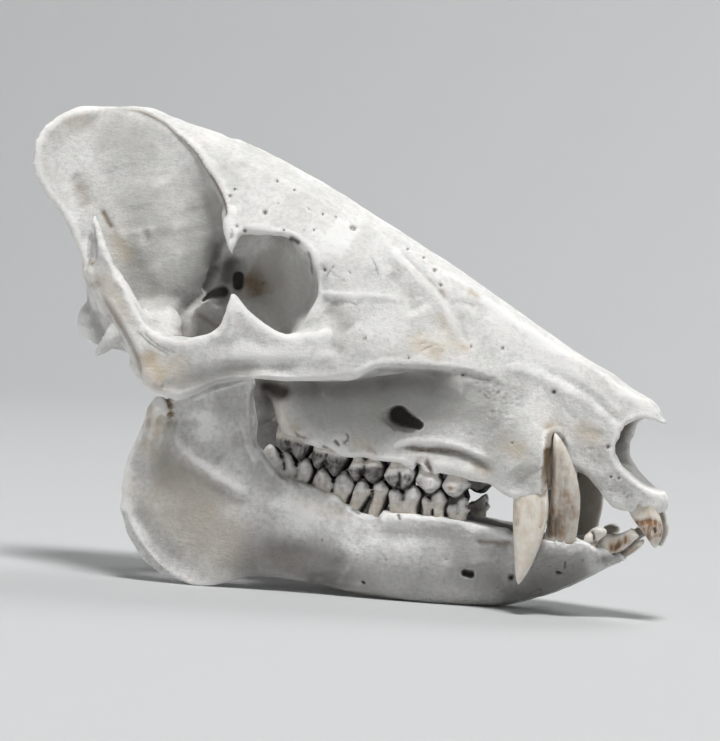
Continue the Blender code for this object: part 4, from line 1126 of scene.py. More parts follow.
OUTER = {"depth": (4, 60)}
ANGLE_LIP = [(128, 505), (131, 520), (140, 538), (152, 554), (165, 567), (180, 577), (196, 583),
             (214, 584)]
OBLIQUE = [(170, 424), (182, 445), (198, 461), (216, 474), (234, 486), (252, 494)]
GUM_EDGE = [(292, 481), (312, 487), (326, 491), (338, 500), (347, 508), (357, 515), (366, 518),
            (375, 515), (384, 512), (396, 514), (410, 516), (421, 519), (432, 518), (444, 520),
            (456, 522), (463, 524), (469, 530), (482, 534)]
FRONT_GUM = [(544, 542), (555, 541), (558, 545), (563, 541), (575, 540), (578, 534), (584, 537),
             (587, 543), (593, 549), (594, 558)]
SHELF = [(474, 529), (490, 530), (512, 531)]
CONDYLE_GROOVE = [(150, 392), (157, 389), (164, 393), (168.5, 401), (171.5, 410)]

MANDIBLE_FORMS = [
    # ramus: ridges that run down from the condyle, hollow above them, thick lip round the angle
    (OBLIQUE, 3.4, 1.5, OUTER),
    ([(176, 458), (196, 478), (222, 494), (250, 506)], 4.0, -0.7, OUTER),
    ([(200, 415), (205, 440), (228, 462)], 8.0, -1.1, OUTER),
    ([(150, 462), (178, 488), (206, 508)], 6.0, -0.6, OUTER),
    ([(238, 418), (242, 432), (248, 448), (256, 464)], 1.4, 0.6, OUTER),
    ([(226, 400), (230, 425), (238, 450)], 3.0, -0.4, OUTER),
    (ANGLE_LIP, 0.8, 0.8, RIM),
    ([(136, 505), (142, 522), (154, 540), (170, 556), (190, 570), (210, 574)], 2.6, -0.6, OUTER),
    ([(140, 470), (152, 500), (172, 530), (200, 555)], 4.0, 0.5, OUTER),
    ([(172, 512), (190, 540)], 3.0, -0.35, OUTER),
    ([(228, 505), (232, 540), (226, 568)], 5.0, 0.6, OUTER),
    ([(121, 475), (121, 495), (125, 515)], 2.0, 0.5, RIM),
    ([(190, 402), (210, 393), (232, 386), (249, 381)], 0.8, 0.4, RIM),
    ([(251, 384), (254, 405), (254, 430), (258, 452), (270, 468)], 0.9, 0.35, RIM),
    ([(158, 417), (172, 425)], 2.0, -0.6, OUTER),
    ([(171, 415)], 1.4, -0.8, OUTER),
    ([(156, 398)], 2.0, 0.9, RIM),
    (CONDYLE_GROOVE, 0.8, -0.9, RIM),
    # body: hollow in front of the angle, soft swellings along the tooth row
    ([(258, 556), (290, 552), (318, 556), (345, 572)], 5.5, -2.1, OUTER),
    ([(262, 503), (300, 512), (345, 530)], 4.5, 1.1, OUTER),
    ([(360, 545), (410, 560), (450, 585)], 6.0, 0.5, OUTER),
    ([(365, 528), (400, 535), (440, 535), (470, 545)], 3.0, -0.5, OUTER),
    ([(480, 600), (520, 592), (560, 580)], 3.5, 0.4, OUTER),
    (SHELF, 1.1, 0.8, {"facing": -0.2}),
    ([(474, 541), (490, 542), (514, 543)], 1.4, -1.1, OUTER),
    ([(470, 565), (482, 561), (498, 562)], 1.4, 0.5, OUTER),
    ([(474, 574), (490, 575), (505, 577)], 1.4, -0.6, OUTER),
    ([(545, 556), (560, 556), (576, 553)], 2.6, 0.6, OUTER),
    (GUM_EDGE, 0.8, 0.5, {"facing": -0.3, "depth": (4, 30)}),
    (FRONT_GUM, 0.7, 0.45, RIM),
    ([(352, 508), (361, 513)], 1.0, -0.8, RIM),
]

MANDIBLE_SHIFTS = [
    ([(266, 461), (285, 471), (310, 481), (335, 492)], 3.5, (0, -1.1), {"depth": (8, 34)}),
    ([(336, 496), (350, 504), (362, 510), (374, 512), (384, 513)], 5.0, (0, -3.4),
     {"depth": (8, 30)}),
    ([(259, 384), (258, 405), (258, 430), (263, 450)], 2.6, (-1.9, 0), {"depth": (18, 60)}),
]

# The rim of the angle, whose copied edge is made of straight pieces
MANDIBLE_SOFT = [
    ([(121, 470), (121.5, 495), *ANGLE_LIP, (232, 582), (258, 577)], 2.2, 1.0, {"facing": -2}),
]

MANDIBLE_CRACKS = [
    ([(362, 581), (365, 584)], 0.45, -1.1, 0.4, 0.8, OUTER),
    ([(398, 514), (400, 520)], 0.45, -0.8, 0.4, 0.6, OUTER),
    ([(565, 561), (564.5, 569)], 0.4, -0.4, 0.35, 0.4, OUTER),
]
CHIN_HOLE = [(465, 573), (471, 574.5)]
CHIN_HOLE_SHAPE = {"kind": "flat", "depth": (4, 60), "taper": False}

MANDIBLE_LINES = [
    *carved(MANDIBLE_CRACKS),
    (CHIN_HOLE, 1.3, -2.6, CHIN_HOLE_SHAPE),
    ([(511, 577.5)], 1.1, -1.8, {"kind": "flat", "depth": (4, 60)}),
    *[([(x, y)], size, -0.7, OUTER) for x, y, size in (
        (322, 540, 0.35), (386, 560, 0.35), (430, 600, 0.35), (498, 588, 0.4), (529, 566, 0.35),
        (540, 590, 0.4), (446, 560, 0.35), (182, 424, 0.35), (572, 566, 0.4), (583, 560, 0.4))],
]

MANDIBLE_ROUGH = [
    ([(520, 560), (545, 570), (580, 566)], 4.5, 0.35, 1.5),
    ([(440, 590), (490, 600), (540, 592)], 4.0, 0.18, 1.8),
    ([(380, 590), (430, 602)], 4.0, 0.15, 1.8),
    ([(125, 520), (150, 560), (190, 582)], 2.0, 0.2, 1.6),
    ([(475, 556), (500, 560)], 3.0, 0.2, 1.6),
]

MANDIBLE_STAINS_AND_SHADE = {
    "brown": [
        (CONDYLE_GROOVE, 1.0, 1.4, {"facing": -0.9}),
        ([(168, 412), (173, 417)], 2.0, 0.9),
        ([(238, 420), (241, 431), (246, 446)], 0.6, 0.45, OUTER),
        ([(292, 480), (300, 484)], 0.9, 0.4, RIM),
        ([(272, 475), (290, 480)], 1.0, 0.4, RIM),
        ([(270, 560), (310, 562)], 5.0, 0.2, OUTER),
        ([(596, 562), (612, 556)], 1.4, 0.3, RIM),
        ([(148, 418), (152, 428)], 2.0, 0.3, OUTER),
        ([(476, 542), (500, 543), (514, 543)], 0.9, 0.4, OUTER),
    ],
    "tan": [
        ([(148, 404), (152, 420), (164, 436)], 3.6, 0.6),
        ([(150, 470), (215, 530), (250, 540)], 14.0, 0.28, OUTER),
        ([(140, 440), (160, 460)], 4.0, 0.3, OUTER),
        ([(290, 500), (330, 510), (350, 515)], 3.0, 0.2, OUTER),
        ([(128, 470), (126, 500)], 3.0, 0.25, OUTER),
        ([(300, 478), (318, 486), (336, 496)], 1.6, 0.3, OUTER),
    ],
    # Grey: painted shade and light, with the light at the negative strengths
    "grey": [
        ([(150, 520), (300, 560), (450, 585)], 16.0, 0.15, OUTER),
        # Painted highlights: the glint in the fossa, the lit ridge, the lit body and the rim of the
        # angle
        ([(206, 410), (202, 428), (208, 444)], 5.0, -0.6, OUTER),
        ([(180, 446), (198, 461), (216, 474), (238, 488)], 2.6, -0.45, OUTER),
        ([(278, 496), (292, 512), (322, 528), (350, 544)], 6.0, -0.45, OUTER),
        ([(340, 545), (385, 545), (425, 545)], 6.0, -0.5, OUTER),
        ([(127, 462), (126, 490), (134, 520), (150, 545)], 2.0, -0.6, OUTER),
        # Painted shade, mostly on the parts that face down or away from the light, and behind the
        # ramus
        ([(450, 556), (476, 572), (500, 588)], 7.0, 0.75, OUTER),
        ([(530, 570), (560, 576), (585, 564)], 6.0, 0.8, OUTER),
        ([(150, 450), (180, 490), (200, 520)], 9.0, 0.25, OUTER),
        ([(215, 400), (232, 410), (246, 400)], 4.0, 0.25, OUTER),
        ([(236, 430), (262, 470), (285, 492)], 5.0, 0.35, OUTER),
        ([(150, 455), (185, 480), (230, 505)], 5.5, 0.4, OUTER),
        ([(170, 530), (215, 555), (250, 560)], 8.0, 0.2, OUTER),
        ([(250, 562), (275, 562), (310, 566), (350, 588)], 8.0, 1.0, {**OUTER, "taper": False}),
        ([(135, 500), (150, 535), (180, 562)], 6.0, 0.3, OUTER),
        ([(350, 590), (420, 605), (480, 604)], 5.0, 0.5, OUTER),
        ([(380, 530), (440, 532), (466, 548)], 3.5, 0.5, OUTER),
        ([(520, 560), (560, 566), (590, 562)], 5.0, 0.75, OUTER),
        ([(500, 600), (550, 586)], 4.0, 0.5, OUTER),
        ([(478, 548), (510, 550)], 3.0, 0.5, OUTER),
        ([(262, 390), (266, 430)], 6.0, 0.6, {"facing": -0.9, "depth": (20, 60)}),
    ],
    # Dark: soil in cracks, and painted shade on the inner faces, low on the body, at the chin and in
    # holes
    "dark": [
        *crack_soil_and_shade(MANDIBLE_CRACKS),
        ([(-46, 10), (-42, -16), (-36, -36)], 12.0, 0.4, {"view": "inner", "depth": (14, 60)}),
        ([(20, -50), (45, -54), (70, -60)], 9.0, 0.35, {"view": "inner", "depth": (3, 40)}),
        ([(600, 560), (622, 556)], 2.5, 0.5, {"facing": -0.9}),
        ([(258, 572), (290, 568), (330, 580)], 8.0, 0.6, {**OUTER, "taper": False}),
        ([(490, 594), (545, 580), (592, 566)], 6.0, 0.38, OUTER),
        (CHIN_HOLE, 1.15, 1.2, {**CHIN_HOLE_SHAPE, "facing": -0.9}),
        ([(511, 577.5)], 0.8, 1.0, OUTER),
        ([(545, 545), (558, 551), (575, 545)], 0.8, 0.2, OUTER),
        ([(352, 508), (361, 513)], 0.9, 0.4, RIM),
    ],
}


# The same for the mandible, and how grey it is all over
MANDIBLE_MELTING = 25
MANDIBLE_WAVES = (9.0, 0.2)
MANDIBLE_INNER_SHADE = (0.2, 0.0)
MANDIBLE_GREY = 0.12


def build_mandible(settings):
    """The mandible's fine surface."""
    surface = shape_bone("mandible", settings.mandible_grain, settings.smoothing,
                         MANDIBLE_SHIFTS, (MANDIBLE_SOFT, MANDIBLE_MELTING), MANDIBLE_FORMS,
                         MANDIBLE_WAVES, MANDIBLE_LINES, MANDIBLE_ROUGH)
    surface.marks["grey"] = np.full(len(surface.points), MANDIBLE_GREY)
    colours = chosen_colours(settings, "jaw_light", "jaw_grey", "bone_brown", "bone_tan")
    colour_bone(surface, MANDIBLE_STAINS_AND_SHADE, MANDIBLE_INNER_SHADE, colours, "mandible", "jaw_bone")


# A cheek tooth as the picture shows it: how dark its enamel is, what share of the crown stays
# pale below the neck, the neck's height at its rear and front end, and its outline with its roots
CHEEK_FORMS = {
    "upper_molar_3": (1.0, 0.0, (436, 445), [
        (279, 424), (300, 425), (306, 436), (310.5, 443.5), (308.5, 450.5), (304, 457),
        (299.5, 461), (294.5, 457.5), (290, 452), (284.5, 450.8), (279.5, 447.5), (275.5, 441.5),
        (275.5, 434)]),
    "upper_molar_2": (0.95, 0.1, (447, 455), [
        (315, 430), (341, 436), (344, 449), (347.3, 458.5), (344.5, 465.5), (339.5, 472),
        (333.5, 477.3), (329, 472), (324.5, 465.5), (321, 467.5), (317, 469.3), (313, 465),
        (311, 457.5), (312.5, 449)]),
    "upper_molar_1": (1.0, 0.2, (463, 461.5), [
        (351, 442), (361, 442), (363, 454), (365.5, 460), (367.5, 454), (369, 444), (383, 446),
        (381.5, 456), (381, 461.5), (383.5, 467), (383.2, 474), (378, 480.5), (372, 484),
        (366.5, 480.3), (361.8, 475), (359, 480), (355.3, 482), (351, 477), (347.3, 469.5),
        (350.5, 463), (352.5, 456)]),
    "upper_premolar_4": (0.8, 0.26, (469, 466), [
        (388, 456), (412, 456), (414.8, 460), (413, 466), (415.8, 474), (413, 481.5),
        (408.5, 487), (403, 489.3), (398.8, 485), (394.5, 488), (389.5, 485.3), (385, 479.5),
        (383.2, 474.5), (386, 469.5), (389, 462)]),
    "upper_premolar_3": (0.12, 0.2, (474, 477), [
        (419, 456), (439, 458), (441, 470), (439, 477), (441.5, 482), (438.8, 488.5),
        (433.5, 493), (428, 494), (421.5, 489), (416.5, 484), (414.8, 479), (417, 472.5),
        (418.8, 463)]),
    "upper_premolar_2": (0.12, 0.2, (480, 481), [
        (446, 460), (466, 464), (466.5, 474), (466, 481), (468.9, 485.5), (465.5, 492),
        (460, 496.5), (454.5, 498.5), (448.5, 496), (443.5, 491), (441.3, 485), (444, 479.5),
        (446, 473)]),
    "lower_molar_3": (0.12, 0.0, (470, 484), [
        (262, 500), (259.5, 470), (260, 456), (264, 448), (269.5, 443.8), (275, 446.7),
        (280.5, 454), (283.5, 451.3), (287, 450.3), (291.3, 454), (296, 463), (300, 459.5),
        (305.5, 456.5), (310, 460.7), (313.5, 468), (311.5, 476), (308, 484), (303, 502)]),
    "lower_molar_2": (0.2, 0.0, (484, 494), [
        (316, 510), (314, 492), (312.8, 480), (315.5, 473), (319.3, 468), (323.5, 466.8),
        (328, 470.8), (333.3, 478.8), (338, 473.5), (343.8, 470), (349, 473.2), (354.5, 482),
        (352.5, 490), (348, 499), (342, 516), (334, 514)]),
    "lower_molar_1": (0.2, 0.0, (494, 491), [
        (344, 522), (346.5, 508), (350, 498), (353.5, 489), (356.3, 483), (359.7, 479),
        (363.3, 477.8), (367, 480.7), (371, 486.5), (375, 482), (380, 479.8), (385, 482.2),
        (388.7, 488.5), (386.5, 497), (382, 509), (374, 530), (361, 530), (364, 520),
        (367, 510), (370.5, 500), (372.5, 493), (368, 498.5), (363, 506), (358, 515),
        (353, 528)]),
    "lower_premolar_4": (0.04, 0.0, (503, 503), [
        (387, 526), (387.5, 512), (388.6, 502), (387.8, 494), (390, 489.5), (394, 487.7),
        (398.5, 488.8), (402.8, 490.8), (407, 487), (413, 484.3), (418, 487), (421.2, 494.5),
        (419, 502), (417.3, 512), (417, 526)]),
    "lower_premolar_3": (0.12, 0.0, (504, 505), [
        (421.5, 530), (421.3, 514), (420.5, 504), (421.5, 498), (425, 495.3), (429.3, 496.8),
        (434, 491.3), (440, 488.5), (444.5, 492.3), (447.2, 500), (444.5, 509), (443.5, 530)]),
    "lower_premolar_2": (0.15, 0.0, (512, 514), [
        (446, 534), (446.5, 518), (446.3, 508), (448.5, 504), (452.5, 503.4), (457, 500.7),
        (461, 497.2), (465.5, 495.8), (467, 501.3), (466.7, 506), (469.2, 509), (467.5, 512.5),
        (465.3, 516), (464, 534)]),
}
# How far their edges are rounded, in mm
CHEEK_EDGE = 2.5
# Furrows between the cusps and the roots, and swellings
CHEEK_RELIEF = {
    "upper_molar_3": [([(290, 453), (289, 446), (287, 439)], 1.0, -0.8),
                      ([(299, 458), (300, 446)], 1.3, 0.5), ([(282, 448), (281, 440)], 1.2, 0.3)],
    "upper_molar_2": [([(324.5, 466), (325, 459), (326, 452)], 1.0, -0.9),
                      ([(333, 474), (335, 462)], 1.4, 0.6), ([(317, 466), (318, 455)], 1.2, 0.4)],
    "upper_molar_1": [([(361.8, 476), (363, 470), (364, 464)], 1.0, -0.9),
                      ([(372, 481), (373, 467)], 1.3, 0.5), ([(355, 478), (355, 467)], 1.2, 0.5),
                      ([(352, 464), (362, 466), (378, 464)], 0.7, 0.3)],
    "upper_premolar_4": [([(398.8, 486), (399, 478), (399, 471)], 0.9, -0.8),
                         ([(404, 485), (405, 472)], 1.3, 0.4), ([(393, 484), (392, 473)], 1.2, 0.4),
                         ([(387, 471), (399, 469), (412, 470)], 0.7, 0.25)],
    "upper_premolar_3": [([(424.5, 461), (428.5, 467), (432.5, 473)], 0.5, -0.8),
                         ([(430, 490), (429, 478)], 1.6, 0.5),
                         ([(419, 485), (420, 478)], 0.9, -0.3)],
    "upper_premolar_2": [([(453, 494), (453, 484)], 1.5, 0.5),
                         ([(462, 484), (460, 493)], 0.8, -0.35)],
    "lower_molar_3": [([(280.5, 453), (283, 462), (284, 472)], 1.0, -0.8),
                      ([(296, 462), (296.5, 470), (295, 480)], 1.0, -0.8),
                      ([(305, 460), (304, 475)], 1.3, 0.5), ([(288, 454), (290, 470)], 1.2, 0.5)],
    "lower_molar_2": [([(333.3, 478), (333, 485), (331, 494)], 1.0, -0.8),
                      ([(343, 474), (343, 488)], 1.4, 0.6), ([(323, 471), (322, 484)], 1.3, 0.5)],
    "lower_molar_1": [([(371, 486), (372, 490), (372.5, 493)], 0.9, -0.6),
                      ([(379, 483), (379, 491)], 1.3, 0.5), ([(362, 481), (361, 492)], 1.2, 0.5)],
    "lower_premolar_4": [([(402.8, 490), (403, 496), (402.5, 502)], 1.1, -0.8),
                         ([(412, 488), (412, 500)], 1.4, 0.5), ([(394, 491), (394, 500)], 1.3, 0.4)],
    "lower_premolar_3": [([(429.5, 496), (431, 502)], 0.9, -0.5),
                         ([(440, 492), (440, 503)], 1.4, 0.5),
                         ([(432, 508), (432.5, 516)], 0.6, -0.8)],
    "lower_premolar_2": [([(457, 501), (458, 508), (457, 516)], 0.9, -0.5),
                         ([(464, 499), (463, 510)], 1.1, 0.4)],
}
# Fine dark lines and brown spots of the cheek teeth
CHEEK_STAINS = {
    "upper_premolar_3": {"dark": [([(425, 461), (428.5, 467), (432.5, 473)], 0.45, 0.9)]},
    "upper_premolar_2": {"brown": [([(451, 488)], 0.9, 0.9)]},
    "lower_molar_2": {"brown": [([(318, 478), (324, 484)], 1.2, 0.4)]},
    "lower_premolar_3": {"dark": [([(432, 510), (432.5, 517)], 0.5, 0.9)]},
    "lower_premolar_4": {"grey": [([(402.8, 490), (403, 499)], 1.2, 0.5)]},
}
# Where the upper teeth meet the lower ones
BITE = [(272, 440), (276, 446), (281, 450.5), (286, 452), (291, 454), (295.5, 460), (299.5, 462.5),
        (304.5, 459), (310, 455), (313, 467), (317, 471), (322, 468), (327, 471.5), (333.5, 479),
        (339.5, 474), (345, 468), (350, 478.5), (355, 483.5), (360, 480.5), (366, 482), (372, 485.7),
        (378, 482.5), (383, 478), (388.5, 487), (394.5, 489.7), (399, 488), (403, 491),
        (409, 488.5), (414, 482.5), (420, 490), (427, 495.7), (434, 494.6), (440, 489.5),
        (447, 497), (454, 500.2), (461, 498), (468, 490)]
INCISOR_FORMS = {
    "upper_incisor": (5.3, 3.1, [
        (628, 492), (627.5, 508), (631, 517), (635.5, 524), (642, 531.5), (647, 539.5),
        (651.5, 546.5), (655, 548.5), (658, 544), (661, 537), (661.8, 529), (660, 519),
        (657, 510), (656, 492)]),
    "lower_incisor_3": (11.3, 2.7, [
        (588, 554), (584.5, 544.5), (583.3, 538.5), (585, 534.8), (588.3, 532), (591.2, 529),
        (597, 526.7), (602.5, 527.7), (606, 531.5), (604.5, 536), (599.5, 539.5),
        (595.5, 543.5), (594, 554)]),
    "lower_incisor_2": (6.0, 1.9, [
        (592, 563), (594.3, 557), (594.8, 550), (597, 544), (601, 538.5), (606, 534),
        (612, 535.3), (618, 534.8), (626, 531.3), (631.5, 528), (635, 531.7), (638.5, 536.8),
        (634.5, 540.3), (625.5, 548.3), (617, 552.7), (610, 555.7), (603, 559.3), (597, 561.5),
        (594, 564)]),
    "lower_incisor_1": (2.1, 1.5, [
        (599, 567), (601, 562.5), (608, 559), (618, 554), (628, 548), (636, 541.5), (640.5, 540),
        (641.5, 543.5), (636, 549.7), (627, 556), (616, 561.5), (606, 565), (601, 568.5)]),
}

# Tusks as the picture shows them: (x, y, half width in pixels) down the middle, then how
# far from the skull's middle and how thick across in mm at each of the same places
TUSK_FORMS = {
    "upper_canine": [(529.5, 455, 13, 21.4, 3.0), (530, 478, 16, 22.6, 3.8),
                     (530.8, 500, 17.6, 24.2, 4.1), (530.3, 515, 17.4, 25.2, 4.0),
                     (528.6, 530, 15.8, 26.2, 3.6), (526.6, 545, 12.9, 27.0, 3.0),
                     (523.8, 560, 9.5, 27.5, 2.4), (521, 572, 6.0, 27.9, 1.8),
                     (519.2, 580, 2.8, 28.1, 1.1), (518.3, 584.5, 0.5, 28.2, 0.3)],
    "lower_canine": [(554, 568, 8, 11.0, 1.8), (556.5, 556, 13, 13.4, 2.9),
                     (559.6, 540, 15.4, 16.2, 3.6), (562.8, 524, 15.3, 17.8, 3.8),
                     (565.3, 504, 15.1, 19.4, 3.8), (565, 484, 13.4, 20.3, 3.5),
                     (562, 463, 10.0, 20.5, 2.9), (559, 449, 6.7, 20.2, 2.2),
                     (556.8, 440, 4.0, 19.9, 1.5), (555, 433, 0.6, 19.7, 0.3)],
}
# How finely a tusk's horn is divided, and the least half width of its tip in mm
TUSK_SIDES = 28
TUSK_STEPS = 5
TUSK_TIP = 0.05

FRONT_RELIEF = {
    "upper_canine": [([(541, 500), (543, 515), (540, 530)], 0.8, -0.25),
                     ([(545, 498), (546, 514), (542, 532)], 0.6, 0.25),
                     ([(520, 505), (520, 560)], 1.0, -0.12)],
    "lower_canine": [([(560, 462), (558, 500), (556, 536)], 1.0, -0.55),
                     ([(554, 520), (552, 540)], 0.8, -0.35),
                     ([(570, 470), (572, 500), (570, 530)], 1.6, 0.3)],
    "upper_incisor": [([(632, 520), (640, 523), (650, 521), (658, 524)], 1.0, -0.35),
                      ([(653, 528), (655.5, 533)], 0.7, -0.4)],
    "lower_incisor_3": [([(590, 530.5), (593.5, 535), (594.5, 542)], 0.6, -0.8),
                        ([(598, 530)], 1.6, 0.3), ([(588, 538)], 1.4, 0.3)],
    "lower_incisor_2": [([(610, 552), (620, 545), (630, 538)], 1.4, -0.5),
                        ([(602, 547)], 1.8, 0.4), ([(612, 537), (630, 531)], 0.8, 0.25)],
}
FRONT_STAINS = {
    "upper_canine": {"brown": [([(514, 503), (517, 512), (517, 528)], 1.0, 0.45),
                               ([(541, 500), (544, 514), (541, 528)], 1.0, 0.3),
                               ([(528, 500), (530, 520)], 1.6, 0.2)],
                     "neck": [([(514, 498), (530, 499), (548, 496)], 1.6, 0.6)],
                     "dark": [([(540, 527)], 0.4, 0.5)]},
    "lower_canine": {"brown": [([(564, 488), (566, 496), (568, 505)], 1.6, 0.5),
                               ([(562, 512), (562, 526), (561, 540)], 1.8, 0.6),
                               ([(552, 505), (552, 538)], 1.4, 0.7),
                               ([(554, 450), (554, 500)], 0.8, 0.5),
                               ([(572, 500), (575, 520)], 1.2, 0.4)],
                     "dark": [([(556, 516), (555.5, 538)], 0.7, 0.6),
                              ([(549, 512), (549, 540)], 0.9, 0.7),
                              ([(572.5, 507)], 0.6, 0.5)],
                     "grey": [([(558, 445), (564, 490), (562, 540)], 6.0, 0.34)]},
    "upper_incisor": {"brown": [([(634, 522), (641, 523.5), (650, 522), (658, 524)], 1.3, 1.1),
                                ([(643, 527), (648, 532), (653, 540)], 2.2, 0.9),
                                ([(655, 523), (659, 530), (658, 538)], 1.7, 1.0)],
                      "dark": [([(654, 527), (655.5, 533)], 0.8, 0.8),
                               ([(648, 534), (652, 540)], 1.0, 0.3)],
                      "neck": [([(632, 506), (642, 512), (654, 512)], 3.4, 0.6)]},
    "lower_incisor_3": {"dark": [([(590, 530.5), (593.5, 535), (594.5, 542)], 0.5, 0.5),
                                 ([(586, 545), (598, 542)], 0.7, 0.7)],
                        "grey": [([(598, 531)], 1.8, 0.4)]},
    "lower_incisor_2": {"brown": [([(610, 551), (620, 544), (630, 538)], 1.9, 1.0),
                                  ([(597, 547), (596, 557)], 1.0, 0.8),
                                  ([(600, 558), (612, 553)], 1.0, 0.7)],
                        "dark": [([(595.5, 546), (595.5, 558)], 0.5, 0.7),
                                 ([(610, 551), (624, 542)], 0.9, 0.5)]},
    "lower_incisor_1": {"brown": [([(606, 562), (640, 545)], 1.4, 0.7)],
                        "grey": [([(600, 566), (640, 545)], 3.0, 0.5)],
                        "dark": [([(600, 566), (630, 552)], 1.2, 0.5)]},
}


def spot(across, down, depth):
    """The place of the right side that the picture shows at a pixel, given its depth."""
    y = -depth
    sin, cos = TO_CAMERA[0], TO_RIGHT[0]
    slant = (across - PICTURE[0] / 2) * PIXEL / VIEW_DISTANCE
    x = (slant * (VIEW_DISTANCE + y * cos) - y * sin) / (cos + slant * sin)
    away = VIEW_DISTANCE - x * sin + y * cos
    return x, y, (PICTURE[1] / 2 - down) * PIXEL * away / VIEW_DISTANCE


def horn(work, stations):
    """Add a closed horn through stations of (x, y, z, half size along x, half size across)."""
    rows = smooth_line(stations, TUSK_STEPS)
    rows[:, 3:] = np.maximum(rows[:, 3:], TUSK_TIP)
    rings = []
    for k, row in enumerate(rows):
        ahead = Vector(rows[min(k + 1, len(rows) - 1)][:3] - rows[max(k - 1, 0)][:3])
        ahead.normalize()
        across = Vector((0, 1, 0))
        across = (across - ahead * across.dot(ahead)).normalized()
        front = across.cross(ahead)
        angles = [2 * math.pi * i / TUSK_SIDES for i in range(TUSK_SIDES)]
        rings.append([work.verts.new(Vector(row[:3]) + front * row[3] * math.cos(angle)
                                     + across * row[4] * math.sin(angle)) for angle in angles])
    for one, two in zip(rings[:-1], rings[1:]):
        for i in range(TUSK_SIDES):
            j = (i + 1) % TUSK_SIDES
            work.faces.new((one[i], two[i], two[j], one[j]))
    work.faces.new(rings[0])
    work.faces.new(rings[-1][::-1])


# The points inside a slab's outline: their spacing and their gap to the rim, in pixels
SLAB_SPACING = 1.1
SLAB_GAP = 0.6
# Its outline is taken where its rounded edge is widest, this share of the radius in
SLAB_WIDEST = 0.6


def slab(work, outline, outer, inner, edge, swell=None):
    """Add a form that fills an outline of the picture between two depths.

    Its edge is rounded, with the given radius in mm. swell gives for every place how far it
    stands out from the two faces in mm, and how much its inner side is set up or down.
    """
    rim = smooth_line([*outline[-2:], *outline, *outline[:2]], 4)[8:-5]
    loop = np.concatenate([rim, rim[:1]])
    low, high = rim.min(0), rim.max(0)
    grid = np.stack(np.meshgrid(*(np.arange(low[k], high[k], SLAB_SPACING) for k in (0, 1))),
                    axis=-1).reshape(-1, 2)
    grid = grid[distance(grid, loop)[0] > SLAB_GAP]
    filled = geometry.delaunay_2d_cdt([Vector(place) for place in (*rim, *grid)], [],
                                      [list(range(len(rim)))], 1, 1e-5)
    places = np.array([tuple(place) for place in filled[0]])
    inside = np.clip(distance(places, loop)[0] * PIXEL / edge, 0, 1)
    fall = edge * (1 - np.sqrt(1 - (1 - inside) ** 2))
    out, up = swell(places) if swell else (0.0, 0.0)
    x, _, z = spot(places[:, 0], places[:, 1], outer - SLAB_WIDEST * edge)
    near = np.column_stack([x, -(outer - fall + out), z])
    far = np.column_stack([x, -(inner + fall - out), z + up])
    skins = []
    for side in (near, far):
        made = {}
        for face in filled[2]:
            for i in face:
                if i not in made:
                    made[i] = work.verts.new(side[i])
            work.faces.new([made[i] for i in face])
        skins.append(made)
    uses = {}
    for face in filled[2]:
        for a, b in zip(face, (*face[1:], face[0])):
            key = (min(a, b), max(a, b))
            uses[key] = uses.get(key, 0) + 1
    for (a, b), count in uses.items():
        if count == 1:
            work.faces.new((skins[0][a], skins[0][b], skins[1][b], skins[1][a]))


TOOTH_SMOOTHING = 4


def placed(name, work, grain):
    """A tooth's object: its parts grown together, smoothed and set into the standing skull."""
    bmesh.ops.recalc_face_normals(work, faces=work.faces)
    mesh = bpy.data.meshes.new(name)
    work.to_mesh(mesh)
    work.free()
    mesh.transform(STANDING @ Matrix.Scale(MM, 4))
    obj = added(name, mesh)
    add_skin(obj, grain)
    obj.data = evaluated(obj)
    relax(obj.data, TOOTH_SMOOTHING)
    return obj


def nodes_of(kind):
    """The names of the right and the left node of a kind of tooth."""
    jaw, _, rest = kind.partition("_")
    return [f"{jaw}_{side}_{rest}" for side in ("right", "left")]


def finish_pair(surface, soil_and_shade, material, kind):
    """Paint shade on a right tooth's inner faces, finish it and give the left its mirror image."""
    paint_inner_shade(surface, soil_and_shade)
    finish_surface(surface, TOOTH_ROUNDS, np.zeros(len(surface.points)))
    right, left = nodes_of(kind)
    dress(surface.obj, material, right)
    mesh = surface.obj.data.copy()
    mesh.transform(Matrix.Diagonal((1, -1, 1, 1)))
    mesh.flip_normals()
    dress(added(left + "_tooth", mesh), material, left)


# Cheek teeth: how far the crown stands out over the neck in mm, and how steeply its inner side
# is set up or down, then the width and height in mm of the basin along its biting face
CROWN_SWELL = 0.6
INNER_SLOPE = 0.07
BASIN = (1.2, -1.2)
# Painted shadow where they bite: width, strength; dark in furrows: share of their width, strength
BITE_SHADOW = (0.4, 0.6)
FURROW_DARK = (0.9, 0.22)
CHEEK_WAVES = (2.6, 0.2)
# Strength of the painted shade on the teeth's inner faces
CHEEK_INNER_SHADE = 0.2


